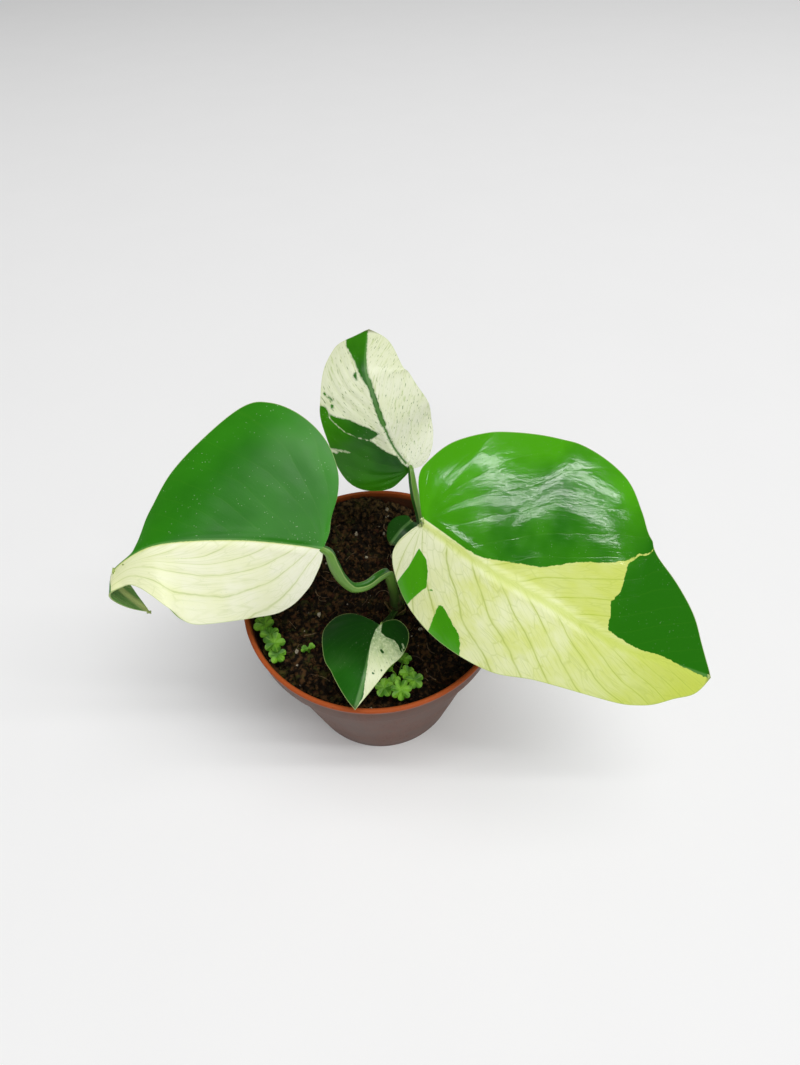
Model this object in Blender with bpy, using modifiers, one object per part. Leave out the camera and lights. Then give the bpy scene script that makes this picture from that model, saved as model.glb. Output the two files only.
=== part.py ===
"""A young variegated monstera in a 90 mm plastic nursery pot.

The pot stands on z = 0 with its axis on Z. Five leaves leave one short stem: a left one
that faces -X, a right one, an upright one at the back, a low heart shaped one in front
and a small round one close to the soil.
"""
import math
import random
from dataclasses import dataclass

import bmesh
import bpy
import numpy as np
from mathutils import Matrix, Vector, noise

MM = 0.001
FIT_GAP = 0.3 * MM                 # clearance between pieces that touch

# Pot, all radii outside unless named otherwise
POT_HEIGHT = 70 * MM
RIM_RADIUS = 45 * MM
RIM_THICKNESS = 1.6 * MM
BAND_HEIGHT = 10 * MM
BAND_FOOT_RADIUS = 44 * MM
BODY_TOP_RADIUS = 42.3 * MM
BASE_RADIUS = 31.5 * MM
WALL = 1.3 * MM
EDGE_ROUND = 0.5 * MM
POT_SIDES = 56
DRAIN_HOLES = 6
DRAIN_HOLE_RADIUS = 3 * MM
DRAIN_CIRCLE_RADIUS = 23 * MM

# Soil
SOIL_LEVEL = 63 * MM
SOIL_RELIEF = 1.1 * MM             # height of the soft bumps
SOIL_BUMP = 7 * MM                 # width of the soft bumps
BANK_TOP = Vector((-10, 44)) * MM  # where the soil is heaped against the pot
BANK_HEIGHT = 5.5 * MM
BANK_REACH = 16 * MM
SOIL_SIDES = 42
SOIL_RINGS = 11
CRUMBS = 40
CRUMB_RADIUS = (0.9 * MM, 2.1 * MM)
CRUMB_SEED = 11

# Stem
STEM_FOOT = (7.6 * MM, -5.9 * MM)
STEM_LEAN = (-0.05, -0.085)        # sideways travel per unit of height
STEM_RADIUS = 2.6 * MM
STEM_BOTTOM = 50 * MM
STEM_TOP = 74 * MM
STEM_SIDES = 16

# Leaf blades
BLADE_THICKNESS = 0.8 * MM
MIDRIB_THICKNESS = 2.0 * MM
MIDRIB_HALF_WIDTH = 0.08           # share of the half blade that the rib takes
RULING_POWER = 1.7                 # how far forward the side veins lean
CURVE_SAMPLES = 200                # along each midrib and outline
DIRECTION_SPAN = 3                 # samples on each side that give the midrib's direction
RIB_TAPER = 0.6                    # how much the midrib thins towards the tip

# Stalks
STALK_POINT_STEP = 2.4 * MM

# Seedlings
SEEDLING_BLADE = 0.6 * MM
SEEDLING_STALK_RADIUS = 0.45 * MM
SEEDLING_PEG_RADIUS = 0.8 * MM
SEEDLING_PEG_DEPTH = 4 * MM
CROWN_RISE = 0.8 * MM              # how far a root peg stands out of the soil
LOBE_DEPTH = 0.20                  # share of a leaflet's radius
TOOTH_DEPTH = 0.07
LEAFLET_CUP = 0.12

# Mesh clean up and shading
WELD_DISTANCE = 0.01 * MM
GOLDEN_ANGLE = math.radians(137.5)


@dataclass
class Leaf:
    """One blade. The outlines are (along the midrib, out from it) in millimetres."""
    name: str
    midrib: list          # points in space, sinus to tip, millimetres
    face: tuple           # upward normal at the sinus and at the tip
    fold: tuple           # downward fold in degrees: (left, right) at the sinus, then at the tip
    curl: tuple           # further downward turn in degrees over curl_width: left, right
    curl_width: float     # millimetres
    left: list
    right: list
    rows: int
    columns: int          # per half


@dataclass
class Stalk:
    """One leaf stalk: its route in millimetres from the stem to the blade."""
    name: str
    route: list
    foot_radius: float
    end_radius: float


LEAVES = [
    Leaf("leaf_right",
         midrib=[(15.2, -11.9, 117), (31.6, -25.1, 114), (47.9, -33.5, 109),
                 (64.5, -41.3, 102), (76.8, -43.3, 97), (91.4, -45.6, 91)],
         face=((0.10, -0.60, 0.80), (0.35, -0.45, 0.85)),
         fold=((-4, 24), (-2, 10)), curl=(8, 20), curl_width=36,
         left=[(0, 0), (-4, 4), (-9, 10), (-9.6, 15), (-6.8, 24), (2, 33.5), (14, 40.5),
               (30, 43.2), (41.5, 42), (50, 36), (56, 31.5), (65, 29), (74, 21.8), (81, 15),
               (85.2, 7.5), (89.4, 0)],
         right=[(0, 0), (-2, 3), (-3.8, 9), (-2.9, 13.8), (2, 19.2), (10, 23.2), (22, 25.2),
                (36, 24.2), (48, 19), (60, 15), (69, 13.7), (75, 12), (80.5, 8.6), (86, 5.4),
                (89.4, 0)],
         rows=32, columns=5),
    Leaf("leaf_left",
         midrib=[(-12.4, -13.5, 109), (-33.3, -14, 114), (-53, -15.1, 115), (-63.1, -16.3, 112),
                 (-72, -17.9, 104.5), (-71.3, -18.8, 98), (-66.2, -20.1, 88)],
         face=((0, -0.58, 0.82), (-0.9, 0.05, 0.4)),
         fold=((34, -2), (26, 4)), curl=(16, 12), curl_width=36,
         left=[(0, 0), (-0.2, 4), (0.6, 8.6), (2.3, 15), (6.5, 23), (13, 26.8), (27, 27.2),
               (38, 25), (47, 22), (53, 17.6), (57, 11.5), (61, 7), (68, 4.5), (76, 2.4), (82, 0)],
         right=[(0, 0), (-1.2, 4.5), (-1.3, 9), (-2.4, 16), (-1.5, 23), (2.5, 30.5), (10, 37),
                (18, 40.7), (24, 39.8), (34, 30.5), (41.5, 22), (46, 13.5), (51, 8), (60, 5.5),
                (72, 3.5), (82, 0)],
         rows=34, columns=5),
    Leaf("leaf_back",
         midrib=[(13.1, 27.8, 98), (7.7, 28.9, 107), (4.3, 30.4, 116), (1.4, 34.9, 124),
                 (-0.5, 41, 130), (0.4, 54.6, 134)],
         face=((0.1, -0.75, 0.6), (0, -0.35, 0.9)),
         fold=((8, 8), (8, 8)), curl=(15, 15), curl_width=22,
         left=[(0, 0), (-1.2, 4), (-1.9, 9.7), (1.4, 15.4), (9, 19.6), (20, 18.8), (29, 18),
               (36, 15), (43, 12.2), (48, 9.6), (51.2, 4), (53.4, 0)],
         right=[(0, 0), (-2, 4), (-1.2, 8.5), (4.3, 14.9), (12, 17.3), (21, 17), (32.5, 13.8),
                (42.4, 11), (50.1, 6.6), (53.4, 0)],
         rows=24, columns=4),
    Leaf("leaf_front",
         midrib=[(2.2, -20.1, 78), (-0.6, -30, 79.5), (-2.1, -37.7, 79), (-4.9, -46.3, 75.5)],
         face=((0, -0.15, 1), (0, -0.5, 1)),
         fold=((8, 8), (8, 8)), curl=(20, 20), curl_width=14,
         left=[(0, 0), (-2.6, 1.7), (-4.3, 5), (-2.5, 8.8), (2, 10.2), (8.6, 9.2), (17, 5),
               (23.3, 2.1), (28, 0)],
         right=[(0, 0), (-2.1, 5), (-3.8, 11), (-2.8, 16.6), (1.5, 19.3), (7.6, 17.5),
                (14.1, 13.8), (20.5, 9.6), (25.3, 4.2), (28, 0)],
         rows=20, columns=3),
    Leaf("leaf_small",
         midrib=[(13.0, 23.2, 76.5), (9.4, 19.4, 76.2), (5.4, 15.2, 73.5)],
         face=((0.1, -0.2, 1), (-0.2, -0.3, 1)),
         fold=((6, 6), (6, 6)), curl=(20, 20), curl_width=8,
         left=[(0, 0), (-1, 2.4), (1.6, 5.2), (6, 5.6), (10, 3.2), (12, 0)],
         right=[(0, 0), (-1, 2.4), (1.6, 5.2), (6, 5.6), (10, 3.2), (12, 0)],
         rows=12, columns=3),
]

STALKS = [
    Stalk("stalk_left",
          [(7.0, -7.0, 70), (6.6, -7.6, 76), (5.8, -8.1, 84), (4.9, -9.0, 90), (2.4, -11.8, 92.2),
           (-0.3, -14.1, 92), (-2.9, -15.5, 92.3), (-5.6, -16.2, 93.6), (-8.3, -15.8, 98),
           (-10.0, -14.8, 103.4), (-10.9, -13.8, 107.3)],
          1.5, 1.2),
    Stalk("stalk_right",
          [(7.6, -6.4, 68), (10.6, -4.6, 76), (13.4, -4.0, 88), (14.8, -4.6, 100), (15.4, -7.4, 109.5),
           (16.2, -10.5, 115)],
          1.6, 1.3),
    Stalk("stalk_back",
          [(7.6, -6.2, 66), (11.6, -0.6, 71), (15.2, 7.5, 75.5), (16.4, 14.5, 79.5),
           (15.9, 18.6, 85), (14.6, 20.6, 91), (13.8, 22.6, 95.2), (13.0, 26.6, 99.5)],
          1.4, 1.0),
    Stalk("stalk_front",
          [(7.4, -6.4, 65.5), (5.6, -11.0, 67.6), (3.8, -15.6, 71), (2.2, -20.3, 75.6)],
          1.1, 0.9),
    Stalk("stalk_small",
          [(7.8, -6.0, 64.8), (11.0, 0.5, 66.0), (14.6, 9.0, 67.4), (15.2, 17.5, 69.4),
           (12.4, 22.4, 74.4)],
          0.9, 0.7),
]


def clear_scene():
    """Remove what the file opens with."""
    for obj in list(bpy.data.objects):
        bpy.data.objects.remove(obj, do_unlink=True)


def make_material(name, colour, roughness):
    """A plain plant or plastic colour."""
    material = bpy.data.materials.new(name)
    material.use_nodes = True
    shader = material.node_tree.nodes["Principled BSDF"]
    shader.inputs["Base Color"].default_value = (*colour, 1)
    shader.inputs["Roughness"].default_value = roughness
    shader.inputs["Metallic"].default_value = 0
    return material


def add_object(name, mesh, collection, material=None):
    """Put a mesh into a collection under a plain name."""
    obj = bpy.data.objects.new(name, mesh)
    collection.objects.link(obj)
    if material:
        mesh.materials.clear()
        mesh.materials.append(material)
    return obj


def evaluated_mesh(obj):
    """The mesh of an object with its modifiers, as a new mesh."""
    depsgraph = bpy.context.evaluated_depsgraph_get()
    return bpy.data.meshes.new_from_object(obj.evaluated_get(depsgraph), depsgraph=depsgraph)


def apply_all(obj):
    """Replace an object's mesh by its evaluated one and drop the modifiers."""
    mesh = evaluated_mesh(obj)
    old = obj.data
    obj.modifiers.clear()
    obj.data = mesh
    bpy.data.meshes.remove(old)


def remove_object(obj):
    """Delete an object that only helped to make another."""
    bpy.data.objects.remove(obj, do_unlink=True)


def hide_cutter(obj):
    """Mark an object as a cutter."""
    obj.hide_render = True
    obj.display_type = 'WIRE'


def combine(obj, operand, operation, solver='EXACT'):
    """Apply one Boolean with an object or with a whole collection."""
    modifier = obj.modifiers.new(operation.title(), 'BOOLEAN')
    modifier.operation = operation
    modifier.solver = solver
    if isinstance(operand, bpy.types.Collection):
        modifier.operand_type = 'COLLECTION'
        modifier.collection = operand
    else:
        modifier.object = operand
    apply_all(obj)


def turned(name, profile, sides, collection, material=None):
    """Turn a profile of (radius, height) points, which starts and ends on the axis, round Z."""
    mesh = bpy.data.meshes.new(name)
    points = [(radius, 0, height) for radius, height in profile]
    mesh.from_pydata(points, [(i, i + 1) for i in range(len(points) - 1)], [])
    obj = add_object(name, mesh, collection, material)
    screw = obj.modifiers.new("Turn", 'SCREW')
    screw.steps = sides
    screw.render_steps = sides
    screw.use_merge_vertices = True
    screw.merge_threshold = 2 * WELD_DISTANCE
    apply_all(obj)
    return obj


def smooth(obj, angle):
    """Shade an object smooth except at its edges."""
    obj.data.shade_smooth()
    obj.data.set_sharp_from_angle(angle=math.radians(angle))


def through_points(points, count):
    """Evenly spaced samples along a smooth curve through the given points."""
    given = np.asarray(points, dtype=float)
    padded = np.vstack([2 * given[0] - given[1], given, 2 * given[-1] - given[-2]])
    spans = len(given) - 1
    dense = []
    for place in np.linspace(0, spans, 40 * spans + 1):
        span = min(int(place), spans - 1)
        u = place - span
        a, b, c, d = padded[span:span + 4]
        dense.append(0.5 * (2 * b + (c - a) * u + (2 * a - 5 * b + 4 * c - d) * u ** 2
                            + (3 * b - a - 3 * c + d) * u ** 3))
    dense = np.array(dense)
    steps = np.linalg.norm(np.diff(dense, axis=0), axis=1)
    travelled = np.concatenate([[0], np.cumsum(steps)])
    wanted = np.linspace(0, travelled[-1], count)
    return np.stack([np.interp(wanted, travelled, dense[:, k]) for k in range(dense.shape[1])], 1)


def inner_radius(height):
    """Radius of the pot's inside at a height."""
    shoulder = POT_HEIGHT - BAND_HEIGHT
    if height >= shoulder:
        return RIM_RADIUS - RIM_THICKNESS - EDGE_ROUND
    return BASE_RADIUS + (BODY_TOP_RADIUS - BASE_RADIUS) * height / shoulder - WALL


def make_pot(collection, material):
    """The pot: lip, band, tapered body, flat floor and drain holes, in one moulding."""
    shoulder = POT_HEIGHT - BAND_HEIGHT
    inside_band = inner_radius(POT_HEIGHT)
    profile = [
        (0, WALL), (inner_radius(0) - EDGE_ROUND, WALL), (inner_radius(0), WALL + EDGE_ROUND),
        (inner_radius(shoulder - WALL), shoulder - WALL), (inside_band, shoulder + WALL),
        (inside_band, POT_HEIGHT - 2 * EDGE_ROUND),
        (RIM_RADIUS - RIM_THICKNESS, POT_HEIGHT - EDGE_ROUND / 2),
        (RIM_RADIUS - RIM_THICKNESS / 2, POT_HEIGHT),
        (RIM_RADIUS - EDGE_ROUND / 2, POT_HEIGHT - EDGE_ROUND / 2),
        (RIM_RADIUS, POT_HEIGHT - 2 * EDGE_ROUND),
        (BAND_FOOT_RADIUS, shoulder + EDGE_ROUND), (BAND_FOOT_RADIUS - EDGE_ROUND, shoulder),
        (BODY_TOP_RADIUS, shoulder), (BASE_RADIUS, 2 * EDGE_ROUND),
        (BASE_RADIUS - EDGE_ROUND, EDGE_ROUND / 2), (BASE_RADIUS - 2 * EDGE_ROUND, 0), (0, 0)]
    pot = turned("pot", profile, POT_SIDES, collection, material)
    cutters = bpy.data.collections.new("drain_cutters")
    bpy.context.scene.collection.children.link(cutters)
    for index in range(DRAIN_HOLES):
        angle = math.tau * (index + 0.5) / DRAIN_HOLES
        mesh = bpy.data.meshes.new("drain_cutter")
        form = bmesh.new()
        bmesh.ops.create_cone(form, cap_ends=True, segments=14, radius1=DRAIN_HOLE_RADIUS,
                              radius2=DRAIN_HOLE_RADIUS, depth=4 * WALL)
        bmesh.ops.translate(form, verts=form.verts, vec=(DRAIN_CIRCLE_RADIUS * math.cos(angle),
                                                         DRAIN_CIRCLE_RADIUS * math.sin(angle), WALL / 2))
        form.to_mesh(mesh)
        form.free()
        hide_cutter(add_object("drain_cutter", mesh, cutters))
    combine(pot, cutters, 'DIFFERENCE')
    drop_collection(cutters)
    smooth(pot, 35)
    return pot


def drop_collection(collection):
    """Remove a helper collection with its objects."""
    for obj in list(collection.objects):
        remove_object(obj)
    bpy.data.collections.remove(collection)


def soil_height(x, y):
    """Height of the crumbly surface over a point of the pot."""
    coarse = noise.noise(Vector((x, y, 0)) / SOIL_BUMP)
    fine = noise.noise(Vector((x, y, 7 * SOIL_BUMP)) / (SOIL_BUMP * 0.4))
    away = (Vector((x, y)) - BANK_TOP).length
    bank = BANK_HEIGHT * math.exp(-(away / BANK_REACH) ** 2)
    return SOIL_LEVEL + SOIL_RELIEF * (coarse + 0.6 * fine) + bank


def make_soil(collection, material, pegs):
    """The soil plug with its crumbly top and a plain hole for each stem in pegs."""
    floor = WALL + FIT_GAP
    shoulder = POT_HEIGHT - BAND_HEIGHT
    top_radius = inner_radius(SOIL_LEVEL) - FIT_GAP
    profile = [(top_radius * ring / SOIL_RINGS, SOIL_LEVEL) for ring in range(SOIL_RINGS + 1)]
    profile += [(top_radius, shoulder + WALL + FIT_GAP),
                (inner_radius(shoulder - WALL) - FIT_GAP, shoulder - WALL + FIT_GAP),
                (inner_radius(0) - FIT_GAP, floor + 2 * EDGE_ROUND),
                (inner_radius(0) - EDGE_ROUND - FIT_GAP, floor), (0, floor)]
    soil = turned("soil", profile, SOIL_SIDES, collection, material)
    for vertex in soil.data.vertices:
        if vertex.co.z > SOIL_LEVEL - EDGE_ROUND:
            vertex.co.z = soil_height(vertex.co.x, vertex.co.y)
    combine(soil, make_crumbs(top_radius), 'UNION')
    drop_collection(bpy.data.collections["crumbs"])
    for peg in pegs:
        combine(soil, peg, 'DIFFERENCE')
        remove_object(peg)
    return soil


def make_crumbs(top_radius):
    """Loose lumps, half sunk in the soil's surface."""
    crumbs = bpy.data.collections.new("crumbs")
    bpy.context.scene.collection.children.link(crumbs)
    chance = random.Random(CRUMB_SEED)
    for index in range(CRUMBS):
        radius = chance.uniform(*CRUMB_RADIUS)
        distance = (top_radius - 1.4 * radius) * math.sqrt((index + 0.5) / CRUMBS)
        angle = index * GOLDEN_ANGLE + chance.uniform(-0.3, 0.3)
        x, y = distance * math.cos(angle), distance * math.sin(angle)
        stretch = Matrix.Diagonal((chance.uniform(0.8, 1.2), chance.uniform(0.8, 1.2), 0.8, 1))
        turn = Matrix.Rotation(chance.uniform(0, math.tau), 4, (0.3, 0.5, 0.8))
        place = Matrix.Translation((x, y, soil_height(x, y) + 0.1 * radius))
        mesh = bpy.data.meshes.new("crumb")
        form = bmesh.new()
        bmesh.ops.create_icosphere(form, subdivisions=1, radius=radius, matrix=place @ stretch @ turn)
        form.to_mesh(mesh)
        form.free()
        add_object("crumb", mesh, crumbs)
    return crumbs


def stem_form(name, extra, collection, material=None):
    """The stem, or with extra the same shape fattened all round for a cutter."""
    radius = STEM_RADIUS + extra
    top = STEM_TOP + extra
    bottom = STEM_BOTTOM - extra
    profile = [(0, top), (0.55 * radius, top - 0.15 * radius), (0.88 * radius, top - 0.5 * radius),
               (radius, top - 1.1 * radius), (radius, bottom), (0, bottom)]
    stem = turned(name, profile, STEM_SIDES, collection, material)
    for vertex in stem.data.vertices:
        rise = vertex.co.z - SOIL_LEVEL
        vertex.co.x += STEM_FOOT[0] + STEM_LEAN[0] * rise
        vertex.co.y += STEM_FOOT[1] + STEM_LEAN[1] * rise
    return stem


def make_stem(collection, material):
    """The short stem that stands in the soil."""
    stem = stem_form("stem", 0, collection, material)
    smooth(stem, 50)
    return stem


def tube(name, points, radii, collection, sides_level):
    """A round rod through points, with a radius at each, as a closed mesh."""
    curve = bpy.data.curves.new(name, 'CURVE')
    curve.dimensions = '3D'
    curve.bevel_depth = 1
    curve.bevel_resolution = sides_level
    curve.use_fill_caps = True
    spline = curve.splines.new('POLY')
    spline.points.add(len(points) - 1)
    for point, place, radius in zip(spline.points, points, radii):
        point.co = (*place, 1)
        point.radius = radius
    guide = bpy.data.objects.new(name, curve)
    collection.objects.link(guide)
    mesh = evaluated_mesh(guide)
    form = bmesh.new()
    form.from_mesh(mesh)
    bmesh.ops.remove_doubles(form, verts=form.verts, dist=WELD_DISTANCE)
    form.to_mesh(mesh)
    form.free()
    remove_object(guide)
    return add_object(name, mesh, collection)


def make_stalk(stalk, collection, material):
    """One leaf stalk, cut to fit round the stem with a small clearance."""
    route = np.array(stalk.route) * MM
    length = np.linalg.norm(np.diff(route, axis=0), axis=1).sum()
    count = max(6, round(length / STALK_POINT_STEP))
    points = through_points(route, count)
    radii = np.linspace(stalk.foot_radius, stalk.end_radius, count) * MM
    obj = tube(stalk.name, points, radii, collection, 2)
    obj.data.materials.append(material)
    cutter = stem_form("stem_cutter", FIT_GAP, collection)
    hide_cutter(cutter)
    combine(obj, cutter, 'DIFFERENCE')
    remove_object(cutter)
    smooth(obj, 50)
    return obj


class BladeSurface:
    """The smooth surface of one blade: a bent midrib with a folded and curled half on each side."""

    def __init__(self, leaf):
        self.leaf = leaf
        self.spine = through_points(np.array(leaf.midrib) * MM, CURVE_SAMPLES)
        self.length = np.linalg.norm(np.diff(self.spine, axis=0), axis=1).sum()
        self.outlines = {1: through_points(np.array(leaf.left) * MM, CURVE_SAMPLES),
                         -1: through_points(np.array(leaf.right) * MM, CURVE_SAMPLES)}

    def frame(self, along):
        """Point, direction, normal and left side of the midrib, and the share travelled."""
        inside = min(max(along, 0), self.length)
        share = inside / self.length
        place = share * (len(self.spine) - 1)
        index = min(int(place), len(self.spine) - 2)
        point = self.spine[index] + (self.spine[index + 1] - self.spine[index]) * (place - index)
        before = self.spine[max(index - DIRECTION_SPAN, 0)]
        after = self.spine[min(index + 1 + DIRECTION_SPAN, len(self.spine) - 1)]
        direction = (after - before) / np.linalg.norm(after - before)
        normal = np.array(self.leaf.face[0]) * (1 - share) + np.array(self.leaf.face[1]) * share
        normal = normal - direction * normal.dot(direction)
        normal = normal / np.linalg.norm(normal)
        point = point + direction * (along - inside)
        return point, direction, normal, np.cross(normal, direction), share

    def at(self, along, out, side):
        """The place of a flat point of the blade; side is 1 for left and -1 for right."""
        point, _, normal, left, share = self.frame(along)
        which = 0 if side > 0 else 1
        fold = self.leaf.fold[0][which] * (1 - share) + self.leaf.fold[1][which] * share
        start = math.radians(fold)
        bend = math.radians(self.leaf.curl[which]) / (self.leaf.curl_width * MM)
        lateral = (math.sin(start + bend * out) - math.sin(start)) / bend
        drop = (math.cos(start) - math.cos(start + bend * out)) / bend
        return point + left * side * lateral - normal * drop

    def ruled(self, s, t):
        """The place at s from sinus to tip and t from the midrib, 0, to the edge, 1 or -1."""
        side = 1 if t >= 0 else -1
        outline = self.outlines[side]
        place = s * (len(outline) - 1)
        index = min(int(place), len(outline) - 2)
        edge = outline[index] + (outline[index + 1] - outline[index]) * (place - index)
        rib = self.length * s ** RULING_POWER
        share = abs(t)
        along = rib * (1 - share) + edge[0] * share
        return self.at(along, max(edge[1], 0) * share, side)


def make_leaf(leaf, collection, material):
    """One blade with its thick midrib."""
    surface = BladeSurface(leaf)
    bpy.ops.mesh.primitive_grid_add(x_subdivisions=leaf.rows, y_subdivisions=2 * leaf.columns, size=1)
    blade = bpy.context.active_object
    blade.name = leaf.name
    blade.data.name = leaf.name
    for owner in list(blade.users_collection):
        owner.objects.unlink(blade)
    collection.objects.link(blade)
    rib = blade.vertex_groups.new(name="midrib")
    for vertex in blade.data.vertices:
        s, t = vertex.co.x + 0.5, 2 * vertex.co.y
        if abs(t) < 0.01:
            rib.add([vertex.index], 1 - RIB_TAPER * s, 'REPLACE')
            t = 0
        elif abs(t) < 1.5 / leaf.columns:
            t = math.copysign(MIDRIB_HALF_WIDTH, t)
        vertex.co = surface.ruled(s, t)
    form = bmesh.new()
    form.from_mesh(blade.data)
    bmesh.ops.remove_doubles(form, verts=form.verts, dist=5 * WELD_DISTANCE)
    bmesh.ops.triangulate(form, faces=form.faces)
    form.to_mesh(blade.data)
    form.free()
    blade.data.materials.append(material)
    solid = blade.modifiers.new("Thickness", 'SOLIDIFY')
    solid.thickness = MIDRIB_THICKNESS
    solid.offset = -1
    solid.vertex_group = rib.name
    solid.thickness_vertex_group = BLADE_THICKNESS / MIDRIB_THICKNESS
    smooth(blade, 60)
    return blade


def lobed_blade(radius, lobes, place):
    """A small toothed blade: a round sheet whose edge goes in and out, slightly cupped."""
    mesh = bpy.data.meshes.new("leaflet")
    form = bmesh.new()
    around = lobes * 6
    bmesh.ops.create_circle(form, cap_ends=True, cap_tris=True, segments=around, radius=1)
    for vertex in form.verts:
        if vertex.co.length < 0.5:
            vertex.co.z = -LEAFLET_CUP * radius
            continue
        angle = math.atan2(vertex.co.y, vertex.co.x)
        reach = radius * (1 - LOBE_DEPTH * (1 - math.cos(lobes * angle))
                          - TOOTH_DEPTH * (1 - math.cos(3 * lobes * angle)))
        vertex.co = (reach * math.cos(angle), reach * math.sin(angle),
                     LEAFLET_CUP * radius * math.cos(2 * angle))
    form.to_mesh(mesh)
    form.free()
    obj = add_object("leaflet", mesh, bpy.context.scene.collection)
    solid = obj.modifiers.new("Thickness", 'SOLIDIFY')
    solid.thickness = SEEDLING_BLADE
    solid.offset = 0
    apply_all(obj)
    obj.data.transform(place)
    return obj


def make_seedling(name, foot, leaflets, collection, material):
    """A weed seedling: lobed leaflets on thin stalks from one root peg, fused in one body."""
    parts = bpy.data.collections.new(name + "_parts")
    bpy.context.scene.collection.children.link(parts)
    ground = soil_height(foot[0] * MM, foot[1] * MM)
    root = Vector((foot[0] * MM, foot[1] * MM, ground - SEEDLING_PEG_DEPTH))
    crown = Vector((root.x, root.y, ground + CROWN_RISE))
    base = tube(name, [root, crown], [SEEDLING_PEG_RADIUS, SEEDLING_PEG_RADIUS], collection, 1)
    base.data.materials.append(material)
    for x, y, z, radius, lobes, turn, tilt in leaflets:
        centre = Vector((x, y, z)) * MM
        out = (centre - crown).normalized()
        start = crown - Vector((0, 0, CROWN_RISE))
        knee = crown.lerp(centre, 0.45) + Vector((0, 0, 0.12 * (centre - crown).length))
        stalk = tube("leaflet_stalk", through_points([start, knee, centre], 4),
                     [SEEDLING_STALK_RADIUS] * 4, parts, 0)
        stalk.data.materials.clear()
        lean = Vector((0, 0, 1)).lerp(out, tilt).to_track_quat('Z', 'Y').to_matrix().to_4x4()
        place = Matrix.Translation(centre) @ lean @ Matrix.Rotation(math.radians(turn), 4, 'Z')
        leaflet = lobed_blade(radius * MM, lobes, place)
        bpy.context.scene.collection.objects.unlink(leaflet)
        parts.objects.link(leaflet)
    combine(base, parts, 'UNION')
    drop_collection(parts)
    return base


SEEDLINGS = {
    "seedling_front": ((7.5, -31.5), [
        # x, y, z, radius, lobes, turn, tilt
        (3.2, -36.6, 68.6, 3.6, 3, 200, 0.25),
        (8.6, -37.6, 69.4, 3.9, 5, 260, 0.2),
        (12.2, -33.6, 68.2, 3.0, 3, 330, 0.25),
        (9.6, -26.4, 67.6, 2.6, 3, 60, 0.3),
        (4.2, -29.0, 67.4, 2.4, 3, 150, 0.3)]),
    "seedling_left": ((-33.6, -15.2), [
        (-37.2, -12.6, 67.4, 3.3, 3, 120, 0.2),
        (-33.2, -19.6, 68.4, 3.8, 5, 280, 0.15),
        (-31.0, -23.9, 67.2, 2.7, 3, 300, 0.25)]),
    "sprout": ((-21.8, -21.2), [
        (-22.9, -21.6, 66.2, 1.3, 3, 180, 0.2),
        (-20.6, -20.8, 66.4, 1.2, 3, 0, 0.2)]),
}


def peg_cutter(foot):
    """The plain hole that a seedling's root peg stands in."""
    x, y = foot[0] * MM, foot[1] * MM
    ground = soil_height(x, y)
    radius = SEEDLING_PEG_RADIUS + FIT_GAP
    cutter = tube("peg_cutter", [(x, y, ground - SEEDLING_PEG_DEPTH - FIT_GAP), (x, y, ground + 4 * MM)],
                  [radius, radius], bpy.context.scene.collection, 2)
    hide_cutter(cutter)
    return cutter


def build():
    """Model the potted plant."""
    clear_scene()
    plant = bpy.data.collections.new("potted_monstera")
    bpy.context.scene.collection.children.link(plant)
    terracotta = make_material("pot_plastic", (0.36, 0.10, 0.045), 0.5)
    earth = make_material("soil", (0.022, 0.013, 0.008), 0.95)
    green = make_material("leaf_green", (0.045, 0.19, 0.012), 0.32)
    stalk_green = make_material("stalk_green", (0.11, 0.27, 0.06), 0.4)
    weed_green = make_material("seedling_green", (0.09, 0.30, 0.02), 0.5)

    make_pot(plant, terracotta)
    make_stem(plant, stalk_green)
    for stalk in STALKS:
        make_stalk(stalk, plant, stalk_green)
    for leaf in LEAVES:
        make_leaf(leaf, plant, green)
    stem_hole = stem_form("stem_cutter", FIT_GAP, plant)
    hide_cutter(stem_hole)
    pegs = [stem_hole]
    for name, (foot, leaflets) in SEEDLINGS.items():
        make_seedling(name, foot, leaflets, plant, weed_green)
        pegs.append(peg_cutter(foot))
    make_soil(plant, earth, pegs)


build()
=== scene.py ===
"""A young variegated monstera in a round plastic nursery pot, laid out as a Blender add-on.

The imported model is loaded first, and every piece takes its place from it. Lengths are in metres,
except in the lists of points of leaves, stalks and seedlings, which are in millimetres.
"""

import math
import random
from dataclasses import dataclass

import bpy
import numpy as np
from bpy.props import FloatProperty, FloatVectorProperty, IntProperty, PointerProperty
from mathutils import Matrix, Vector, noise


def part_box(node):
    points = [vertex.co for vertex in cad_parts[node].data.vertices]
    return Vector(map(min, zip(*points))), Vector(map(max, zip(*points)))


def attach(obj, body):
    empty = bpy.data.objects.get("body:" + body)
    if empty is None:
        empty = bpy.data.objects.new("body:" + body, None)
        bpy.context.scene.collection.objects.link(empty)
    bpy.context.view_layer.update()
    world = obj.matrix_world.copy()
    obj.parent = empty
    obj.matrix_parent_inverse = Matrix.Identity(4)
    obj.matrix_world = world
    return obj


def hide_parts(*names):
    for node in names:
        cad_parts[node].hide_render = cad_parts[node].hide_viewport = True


bl_info = {
    "name": "Potted Monstera",
    "version": (1, 0, 0),
    "blender": (4, 5, 0),
    "location": "View3D > Sidebar > Monstera",
    "description": "Models a young variegated monstera in a nursery pot, with its finishes and its stage",
    "category": "Add Mesh",
}

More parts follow.
